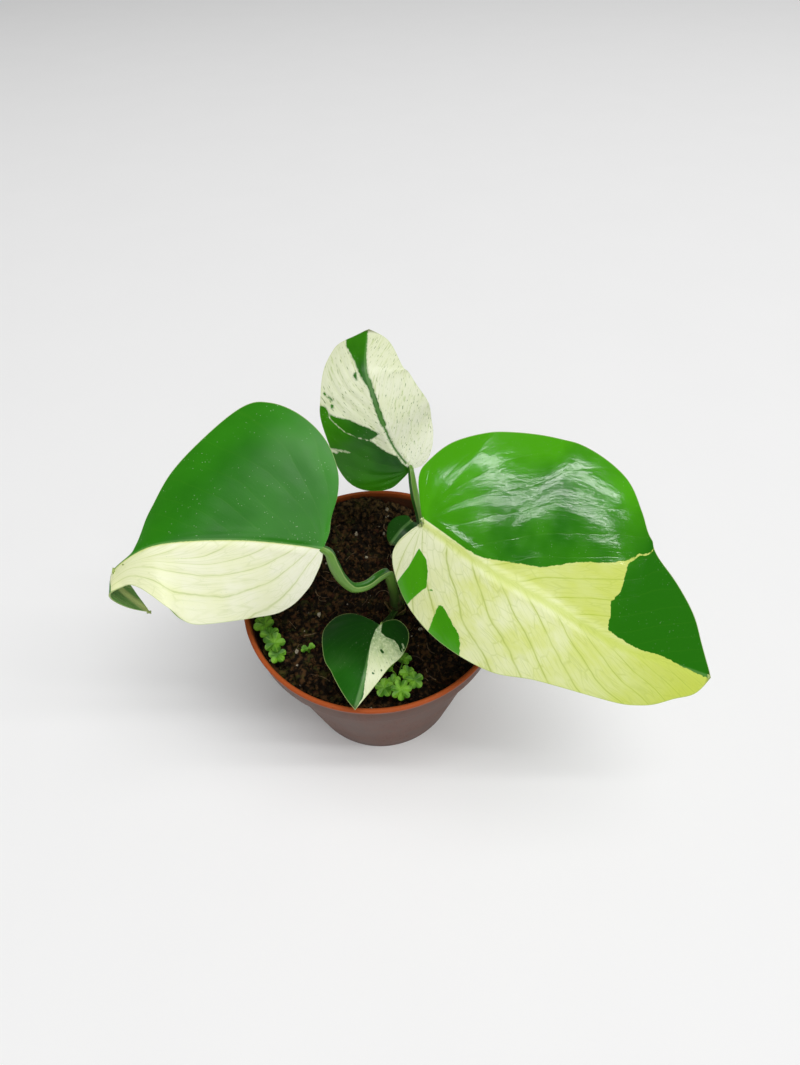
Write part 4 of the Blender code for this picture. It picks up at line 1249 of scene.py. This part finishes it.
def soil_finish(size):
    """Damp peat: near black with browner crumbs and a green film at the left."""
    finish = Finish("soil")
    place = finish.place()
    crumb = finish.noise(place, 1.7, 2.0)
    patch = finish.noise(place, 12.0, 3.0)
    fine = finish.noise(place, 0.5, 4.0, 0.7)
    left = (finish.part(place, 0) * -1).rise(-12.0, 30.0)
    red = finish.noise(place, 3.1, 2.0).rise(0.58, 0.7)
    bank = finish.part(place, 1).rise(28.0, 42.0) * crumb.rise(0.38, 0.6)
    moss = finish.noise(place, 4.0, 4.0, 0.65).rise(0.5, 0.66) * left * patch.rise(0.35, 0.6)
    browner = crumb.rise(0.46, 0.66) * (0.3 + patch * 0.7)
    colour = finish.over(size.dark_colour, (browner, size.brown_colour),
                         (red * 0.5, rgb(66, 32, 20)), (bank * 0.7, rgb(96, 76, 46)),
                         (moss * 0.7, size.moss_colour), (fine.rise(0.6, 0.8) * 0.35, rgb(96, 76, 56)))
    return finish.done(colour, 0.8 + fine * 0.15, fine * 0.6 + crumb * 0.4, 0.3 * MM, specular=0.2)


def grain_finish(size):
    """Expanded perlite, stained by the soil."""
    finish = Finish("perlite")
    place = finish.place()
    tone = finish.noise(place, 1.2, 3.0)
    pits = finish.cells(place, 0.35)
    colour = finish.mix(tone.rise(0.35, 0.65), rgb(104, 92, 74), size.grain_colour)
    return finish.done(colour, 0.85 + tone * 0.1, pits, 0.12 * MM)


def fibre_finish():
    """Thin roots and peat threads."""
    finish = Finish("fibre")
    place = finish.place()
    tone = finish.noise(place, 5.0, 2.0)
    colour = finish.mix(tone.rise(0.35, 0.65), rgb(52, 34, 22), rgb(112, 92, 66))
    return finish.done(colour, 0.75 + tone * 0.1, finish.noise(place, 0.3), 0.04 * MM)


def fibre(size, chance, number):
    """One thread that lies over the crumbs in a loose bend."""
    x, y, _ = on_soil(size, chance, max(THREAD_LENGTHS) / 2 * MM, THREAD_REACH)
    heading = chance.uniform(0, math.tau)
    length = chance.uniform(*THREAD_LENGTHS) * MM
    bend = chance.uniform(-THREAD_BEND, THREAD_BEND)
    route = []
    for step in range(THREAD_POINTS):
        share = step / (THREAD_POINTS - 1) - 0.5
        angle = heading + bend * share
        spot = (x + length * share * math.cos(angle), y + length * share * math.sin(angle))
        route.append((*spot, soil_height(size, *spot) + THREAD_LIFT + chance.uniform(-0.2, 0.5) * MM))
    radius = chance.uniform(*THREAD_RADII) * MM
    return swept(f"fibre_{number}", route, [radius], None, 8, 5)


def swept(name, route, radii, section, steps, sides, top=(0, 0, 1)):
    """A closed rod with rounded ends through the route's points, its radii spread evenly along it.

    section(turn, share) scales the radius round the rod; the side called top is carried
    back from the route's end without twist.
    """
    spine = through_points(route, steps)
    width = np.interp(np.linspace(0, 1, steps), np.linspace(0, 1, len(radii)), radii)
    forward = unit(np.gradient(spine, axis=0))
    up = np.empty_like(spine)
    carried = np.array(top, float)
    for index in range(steps - 1, -1, -1):
        carried = carried - forward[index] * carried.dot(forward[index])
        carried = carried / np.linalg.norm(carried)
        up[index] = carried
    side = np.cross(forward, up)
    share = np.concatenate([np.zeros(CAP_RINGS), np.linspace(0, 1, steps), np.ones(CAP_RINGS)])
    bulge = np.sin(np.arange(CAP_RINGS) / CAP_RINGS * math.pi / 2)
    swell = np.concatenate([bulge, np.ones(steps), bulge[::-1]])
    push = np.concatenate([-np.sqrt(1 - bulge ** 2), np.zeros(steps), np.sqrt(1 - bulge[::-1] ** 2)])
    station = np.clip(np.arange(steps + 2 * CAP_RINGS) - CAP_RINGS, 0, steps - 1)
    last = len(station) - 1
    length = np.linalg.norm(np.diff(spine, axis=0), axis=1).sum() / MM

    def place(u, v):
        row = np.rint(u * last).astype(int)
        here = station[row]
        turn = math.tau * v
        reach = width[here] * swell[row] * (section(turn, share[row]) if section else 1)
        middle = spine[here] + forward[here] * (push[row] * width[here])[:, None]
        rise, swing = (reach * np.cos(turn))[:, None], (reach * np.sin(turn))[:, None]
        return middle + up[here] * rise + side[here] * swing

    def kept(u, v):
        row = np.rint(u * last).astype(int)
        turn = math.tau * v
        return {"section": np.stack([np.cos(turn), np.sin(turn), share[row] * length], 1)}

    piece = mapped_grid(name, last, sides, place, kept)
    weld(piece)
    return piece


def channel(depth):
    """The section of a stalk: round below, with a channel between two low wings on top."""
    def section(turn, share):
        off_top = np.abs((turn + math.pi) % math.tau - math.pi)
        fade = smooth_step(share, 0.0, 0.12) * (1 - smooth_step(share, 0.82, 0.97))
        hollow = depth * bell(off_top, 0.42)
        wings = 0.55 * depth * bell(off_top - 0.72, 0.2)
        return 1 + fade * (wings - hollow)
    return section


def stalk_rod(stalk, leaf):
    """One leaf stalk, led on under the blade into its midrib."""
    blade = Blade(leaf)
    point, normal, _, _ = blade.frame(np.array(KEEL_ALONG) * MM)
    keel = point - normal * (np.array(KEEL_DEPTH) * MM * stalk.end_radius / KEEL_RADIUS)[:, None]
    route = np.vstack([np.array(stalk.route) * MM, keel])
    radii = np.linspace(stalk.foot_radius, stalk.end_radius, len(route)) * MM
    radii[0] *= FOOT_SWELL
    radii[-len(KNEE_SWELL):] *= KNEE_SWELL
    length = np.linalg.norm(np.diff(route, axis=0), axis=1).sum()
    piece = swept(stalk.name + "_rod", route, radii, channel(CHANNEL_DEPTH), round(length / MM * 1.4), 40,
                  top=stalk.top or normal[0])
    shade(piece, 70)
    return piece


def stalk_finish(size):
    """Satin green stalk: a dark channel between pale wings, with lighter flanks, and painted shade that
    darkens it low down near the soil.
    """
    finish = Finish("stalk")
    section = finish.attribute("section", 1)
    top = finish.part(section, 0)
    along = finish.part(section, 2)
    around = finish.part(section, 1)
    streaks = finish.noise(finish.joined(top * 2.2, around * 2.2, along * 0.12), 0.5, 3.0)
    cloud = finish.noise(finish.place(), 6.0, 3.0)
    wings = top.rise(0.6, 0.7) * (1 - top.rise(0.74, 0.84))
    below = (top * -1).rise(0.2, 0.9)
    # Painted shade: the stalks turn dark grey green below 92 mm, fully by 72 mm, as the shade near the
    # soil.
    low = 1 - finish.part(finish.place(), 2).rise(72.0, 92.0)
    colour = finish.over(size.flank_colour, (streaks * 0.6 + cloud * 0.4, rgb(72, 118, 40)),
                         (top.rise(0.72, 0.86), size.top_colour), (wings * 0.4, size.wing_colour),
                         (below * 0.35, rgb(132, 166, 84)), (low * 0.75, rgb(36, 50, 24)))
    rough = 0.34 + cloud * 0.12
    return finish.done(colour, rough, streaks, 0.05 * MM, coat=0.1)


def stem_rod():
    """The short stem, with leaf scars round it and a low blunt top."""
    low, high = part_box("stem")
    heights = np.linspace(low.z + STEM_RADIUS, high.z - STEM_RADIUS, STEM_POINTS)
    route = [(STEM_FOOT[0] * MM + STEM_LEAN[0] * (z - STEM_LEVEL * MM),
              STEM_FOOT[1] * MM + STEM_LEAN[1] * (z - STEM_LEVEL * MM), z) for z in heights]

    def section(turn, share):
        scars = 0.07 * bell((share * 5.3) % 1 - 0.5, 0.12)
        ribs = 0.03 * np.sin(7 * turn + 9 * share)
        return 0.95 + ribs * 0.6 + scars - 0.1 * smooth_step(share, 0.8, 1.0)

    piece = swept("stem_rod", route, [STEM_RADIUS], section, 60, 48)
    shade(piece, 70)
    return piece


def sheath(number, turn, height, lean):
    """A dry pointed scale that clasps the stem."""
    angle = math.radians(turn)
    foot = np.array(SCALE_FOOT) * MM
    outward = np.array([math.cos(angle), math.sin(angle), 0])

    def place(u, v):
        spread = (1.1 - 0.95 * u ** 1.5) * (2 * v - 1)
        facing = angle + spread
        reach = (SCALE_RADIUS + lean * u ** 2 + 0.25 * (1 - np.abs(2 * v - 1))) * MM
        out = np.stack([np.cos(facing), np.sin(facing), np.zeros_like(u)], 1) * reach[:, None]
        rise = np.stack([np.zeros_like(u), np.zeros_like(u), u * height * MM], 1)
        drift = np.outer(u * height * MM, (*STEM_LEAN, 0))
        return foot + out + rise + drift + outward * 0.1 * MM

    def kept(u, v):
        return {"section": np.stack([2 * v - 1, u, u * height], 1)}

    piece = mapped_grid(f"sheath_{number}", 14, 12, place, kept)
    modify(piece, 'SOLIDIFY', thickness=SCALE_THICKNESS, offset=1)
    shade(piece, 60)
    return piece


def stem_finish(size):
    """Green stem skin, painted dark as the shade it stands in, that turns brown and corky at the scars."""
    finish = Finish("stem")
    place = finish.place()
    cloud = finish.noise(place, 3.0, 4.0, 0.6)
    fine = finish.noise(finish.scaled(place, (1, 1, 0.3)), 0.5, 3.0)
    colour = finish.over(size.shaded_stem_colour, (cloud.rise(0.45, 0.65) * 0.7, size.sheath_colour),
                         (fine.rise(0.5, 0.75) * 0.3, rgb(104, 122, 60)))
    return finish.done(colour, 0.5 + cloud * 0.2, fine * 0.6 + cloud * 0.4, 0.12 * MM)


def sheath_finish(size):
    """Papery brown and green scale."""
    finish = Finish("sheath")
    section = finish.attribute("section", 1)
    ribs = finish.noise(finish.scaled(section, (9.0, 0.4, 0.0)), 1.0, 2.0)
    tip = finish.part(section, 1)
    colour = finish.over(rgb(76, 98, 38), (tip.rise(0.1, 0.9), size.sheath_colour),
                         (ribs.rise(0.4, 0.7) * 0.5, rgb(140, 118, 74)))
    return finish.done(colour, 0.55 + ribs * 0.2, ribs, 0.08 * MM)


def leaflet(number, radius, lobes, matrix, size):
    """A small lobed blade with a fold along each lobe's vein."""
    def place(u, v):
        angle = math.tau * v
        reach = radius * (1 - LOBE_DEPTH * (1 - np.abs(np.cos(lobes * angle / 2)) ** LOBE_ROUNDNESS))
        x, y = u * reach * np.cos(angle), u * reach * np.sin(angle)
        cup = LEAFLET_CUP * radius * (u ** 1.5 * (1 + np.cos(2 * angle)) - 1)
        fold = -LEAFLET_FOLD * radius * u * (1 - u * 0.5) * np.cos(lobes * angle)
        return np.stack([x, y, cup + fold], 1)

    def kept(u, v):
        angle = math.tau * v
        return {"section": np.stack([np.cos(lobes * angle), np.sin(lobes * angle), u], 1)}

    piece = mapped_grid(f"leaflet_{number}", LEAFLET_RINGS, lobes * LOBE_CORNERS, place, kept)
    weld(piece)
    edit(piece, bpy.ops.mesh.normals_make_consistent, inside=False)
    modify(piece, 'SOLIDIFY', thickness=size.blade, offset=0)
    piece.data.transform(matrix)
    return piece


def seedling(name, foot, leaflets, size, soil):
    """A weed: lobed leaflets on thin stalks from one root."""
    ground = soil_height(soil, foot[0] * MM, foot[1] * MM)
    crown = Vector((foot[0] * MM, foot[1] * MM, ground + CROWN_HEIGHT))
    root = crown - Vector((0, 0, ROOT_DEPTH))
    root_radii = np.array([0.5, 0.8, 0.7]) * MM
    stalk_radii = np.array([1.0, 0.8, 0.6]) * size.stalk_radius
    parts = [swept("root", [root, root.lerp(crown, 0.5), crown], root_radii, None, 12, 14)]
    for number, (x, y, z, radius, lobes, turn, tilt) in enumerate(leaflets):
        centre = Vector((x, y, z)) * MM
        out = (centre - crown).normalized()
        knee = crown.lerp(centre, 0.45) + Vector((0, 0, 0.12 * (centre - crown).length))
        start = crown - Vector((0, 0, CROWN_HEIGHT))
        route = [start, knee, centre - Vector((0, 0, LEAFLET_CUP * radius * MM))]
        parts.append(swept(f"leaflet_stalk_{number}", route, stalk_radii, None, 16, 10))
        lean = Vector((0, 0, 1)).lerp(out, tilt).to_track_quat('Z', 'Y').to_matrix().to_4x4()
        matrix = Matrix.Translation(centre) @ lean @ Matrix.Rotation(math.radians(turn), 4, 'Z')
        parts.append(leaflet(number, radius * MM, lobes, matrix, size))
    piece = join(parts, name + "_plant")
    shade(piece, 60)
    return piece


def seedling_finish(size):
    """Soft green leaflets, lighter along the veins."""
    finish = Finish("seedling")
    section = finish.attribute("section", 1)
    vein = finish.part(section, 0).rise(0.9, 1.0)
    place = finish.place()
    tone = finish.noise(place, 3.0, 3.0)
    fine = finish.noise(place, 0.6, 3.0)
    colour = finish.over(size.dark_colour, (tone.rise(0.35, 0.65), size.bright_colour),
                         (vein * 0.4, rgb(150, 190, 80)))
    return finish.done(colour, 0.5 + fine * 0.1, fine * 0.5 + vein * -0.4, 0.1 * MM)


def soft_lamp(name, direction, long_side, size, glow, target, mirrored=True):
    """A soft oblong lamp that shines on a target from a direction; the camera doesn't see it.

    A lamp that isn't mirrored lights the plant but leaves no highlight on it.
    """
    deselect()
    toward = Vector(direction).normalized()
    across = toward.cross(Vector(long_side)).normalized()
    bpy.ops.object.light_add(type='AREA')
    light = named(name)
    turn = Matrix((across.cross(toward), across, toward)).transposed().to_4x4()
    light.matrix_world = Matrix.Translation(target + toward * LAMP_DISTANCE) @ turn
    light.data.shape = 'RECTANGLE'
    light.data.size, light.data.size_y = size
    light.data.energy = math.pi * glow * size[0] * size[1]
    light.visible_camera = False
    light.visible_glossy = mirrored


class MONSTERA_OT_pot(bpy.types.Operator):
    """Model the nursery pot"""
    bl_idname = "monstera.pot"
    bl_label = "Make Pot"

    def execute(self, context):
        size = context.scene.monstera_pot
        pot = turned("nursery_pot", pot_profile(size), size.sides)
        for index in range(DRAIN_HOLES):
            cutter = drain_cutter(index, size)
            modify(pot, 'BOOLEAN', operation='DIFFERENCE', object=cutter, solver='EXACT')
            bpy.data.objects.remove(cutter, do_unlink=True)
        shade(pot, 35)
        hand_over(pot, "pot_plastic", "pot", materials=[pot_finish(size)])
        return {'FINISHED'}


class MONSTERA_OT_soil(bpy.types.Operator):
    """Model the soil with its lumps, crumbs, perlite and threads"""
    bl_idname = "monstera.soil"
    bl_label = "Make Soil"

    def execute(self, context):
        size = context.scene.monstera_soil
        pot = context.scene.monstera_pot
        peat = soil_finish(size)
        chance = random.Random(SOIL_SEED)
        reach = pot_inside(pot)[1] - size.gap
        hand_over(soil_bed(size, pot), "soil", "soil", materials=[peat])
        lumps = [crumb_shape(index, 2) for index in range(CRUMB_SHAPES)]
        places = crumb_places(size, chance, size.lumps, LUMP_RADII, reach)
        places += heaped_places(size, chance, reach)
        lump_piece = scattered("soil_lumps", lumps, places)
        shade(lump_piece, 60)
        hand_over(lump_piece, "soil", materials=[peat])
        crumbs = [crumb_shape(index, 1) for index in range(CRUMB_SHAPES)]
        places = crumb_places(size, chance, size.crumbs, CRUMB_RADII, reach)
        hand_over(scattered("soil_crumbs", crumbs, places), "soil", materials=[peat])
        grains = [crumb_shape(index + 20, 2) for index in range(CRUMB_SHAPES)]
        places = crumb_places(size, chance, size.grains, CRUMB_RADII, reach, GRAIN_LIFT)
        hand_over(scattered("soil_perlite", grains, places), "soil", materials=[grain_finish(size)])
        threads = join([fibre(size, chance, number) for number in range(size.fibres)], "soil_threads")
        shade(threads, 60)
        hand_over(threads, "soil", materials=[fibre_finish()])
        return {'FINISHED'}


class MONSTERA_OT_stem(bpy.types.Operator):
    """Model the short stem and its dry scales"""
    bl_idname = "monstera.stem"
    bl_label = "Make Stem"

    def execute(self, context):
        size = context.scene.monstera_stalk
        hand_over(stem_rod(), "stalk", "stem", materials=[stem_finish(size)])
        scales = [sheath(0, 200, 7.5, 0.9), sheath(1, 60, 6.0, 0.7), sheath(2, 320, 5.0, 1.1)]
        hand_over(join(scales, "stem_scales"), "stalk", materials=[sheath_finish(size)])
        return {'FINISHED'}


class MONSTERA_OT_stalks(bpy.types.Operator):
    """Model the five leaf stalks"""
    bl_idname = "monstera.stalks"
    bl_label = "Make Stalks"

    def execute(self, context):
        material = stalk_finish(context.scene.monstera_stalk)
        leaves = {leaf.stalk: leaf for leaf in LEAVES}
        for stalk in STALKS:
            hand_over(stalk_rod(stalk, leaves[stalk.name]), "stalk", stalk.name, materials=[material])
        return {'FINISHED'}


class MONSTERA_OT_leaves(bpy.types.Operator):
    """Model the five leaf blades"""
    bl_idname = "monstera.leaves"
    bl_label = "Make Leaves"

    def execute(self, context):
        size = context.scene.monstera_leaf
        rim = leaf_rim(size)
        for leaf in LEAVES:
            leaf_blade(leaf, size, [leaf_top(leaf, size), leaf_under(leaf, size), rim])
        return {'FINISHED'}


class MONSTERA_OT_seedlings(bpy.types.Operator):
    """Model the small weeds that grow in the soil"""
    bl_idname = "monstera.seedlings"
    bl_label = "Make Seedlings"

    def execute(self, context):
        size = context.scene.monstera_seedling
        material = seedling_finish(size)
        for name, (foot, leaflets) in SEEDLINGS.items():
            piece = seedling(name, foot, leaflets, size, context.scene.monstera_soil)
            hand_over(piece, "seedling", name, materials=[material])
        return {'FINISHED'}


class MONSTERA_OT_stage(bpy.types.Operator):
    """Set up the floor, the soft lights and the camera"""
    bl_idname = "monstera.stage"
    bl_label = "Make Stage"

    def execute(self, context):
        scene = context.scene
        size = scene.monstera_stage
        deselect()
        bpy.ops.mesh.primitive_plane_add(size=size.floor_size)
        floor = named("floor")
        finish = Finish("floor")
        tone = finish.noise(finish.place(), 60.0, 2.0)
        shade_of = finish.mix(tone, size.floor_colour, [0.98 * c for c in size.floor_colour])
        floor.data.materials.append(finish.done(shade_of, 0.85, tone, 0.05 * MM))
        world = bpy.data.worlds.new("studio")
        world.use_nodes = True
        background = world.node_tree.nodes["Background"]
        background.inputs["Color"].default_value = (1.0, 1.0, 1.0, 1.0)
        background.inputs["Strength"].default_value = size.sky
        scene.world = world
        middle = Vector(LAMP_AIM)
        soft_lamp("long_strip", (0.3, -0.09, 0.95), (0.95, 0, -0.3), (5.4, 0.1), size.strip_glow, middle)
        soft_lamp("short_strip", (0.42, -0.2, 0.885), (0.9, 0, -0.43), (3.2, 0.08), size.strip_glow, middle)
        soft_lamp("top_lamp", (0.2, -0.15, 0.96), (1, 0, 0), (3.2, 3.2), size.top_glow, middle, False)
        soft_lamp("front_lamp", (0.0, -0.66, 0.75), (1, 0, 0), (3.0, 2.0), size.front_glow, middle)
        deselect()
        bpy.ops.object.camera_add()
        camera = named("photo_camera")
        camera.data.sensor_fit = 'VERTICAL'
        camera.data.sensor_height = SENSOR_HEIGHT
        camera.data.lens = SENSOR_HEIGHT * size.focal_share
        camera.data.clip_start = CLIP_START
        camera.matrix_world = (Matrix.Translation(Vector(size.camera_place))
                               @ Matrix.Rotation(math.pi / 2 - size.camera_drop, 4, 'X')
                               @ Matrix.Rotation(size.camera_roll, 4, 'Z'))
        scene.camera = camera
        scene.view_settings.view_transform = 'Standard'
        return {'FINISHED'}


class MONSTERA_PT_panel(bpy.types.Panel):
    """Lists the settings and the steps"""
    bl_label = "Potted Monstera"
    bl_idname = "MONSTERA_PT_panel"
    bl_space_type = 'VIEW_3D'
    bl_region_type = 'UI'
    bl_category = "Monstera"

    def draw(self, context):
        for step, group in STEPS:
            box = self.layout.box()
            box.operator(step.bl_idname)
            if group is None:
                continue
            settings = getattr(context.scene, group)
            for name in settings.bl_rna.properties.keys():
                if name not in ("rna_type", "name"):
                    box.prop(settings, name)


STEPS = [
    (MONSTERA_OT_stage, "monstera_stage"),
    (MONSTERA_OT_pot, "monstera_pot"),
    (MONSTERA_OT_soil, "monstera_soil"),
    (MONSTERA_OT_stem, "monstera_stalk"),
    (MONSTERA_OT_stalks, None),
    (MONSTERA_OT_leaves, "monstera_leaf"),
    (MONSTERA_OT_seedlings, "monstera_seedling"),
]
GROUPS = {
    "monstera_stage": StageSettings,
    "monstera_pot": PotSettings,
    "monstera_soil": SoilSettings,
    "monstera_stalk": StalkSettings,
    "monstera_leaf": LeafSettings,
    "monstera_seedling": SeedlingSettings,
}


def register():
    """Add the settings, the operators and the panel."""
    for name, group in GROUPS.items():
        bpy.utils.register_class(group)
        setattr(bpy.types.Scene, name, PointerProperty(type=group))
    for step, _ in STEPS:
        bpy.utils.register_class(step)
    bpy.utils.register_class(MONSTERA_PT_panel)


def unregister():
    """Take them away again."""
    bpy.utils.unregister_class(MONSTERA_PT_panel)
    for step, _ in reversed(STEPS):
        bpy.utils.unregister_class(step)
    for name, group in GROUPS.items():
        delattr(bpy.types.Scene, name)
        bpy.utils.unregister_class(group)


def main():
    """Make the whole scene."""
    register()
    bpy.ops.monstera.stage()
    bpy.ops.monstera.pot()
    bpy.ops.monstera.soil()
    bpy.ops.monstera.stem()
    bpy.ops.monstera.stalks()
    bpy.ops.monstera.leaves()
    bpy.ops.monstera.seedlings()


if __name__ == "__main__":
    main()
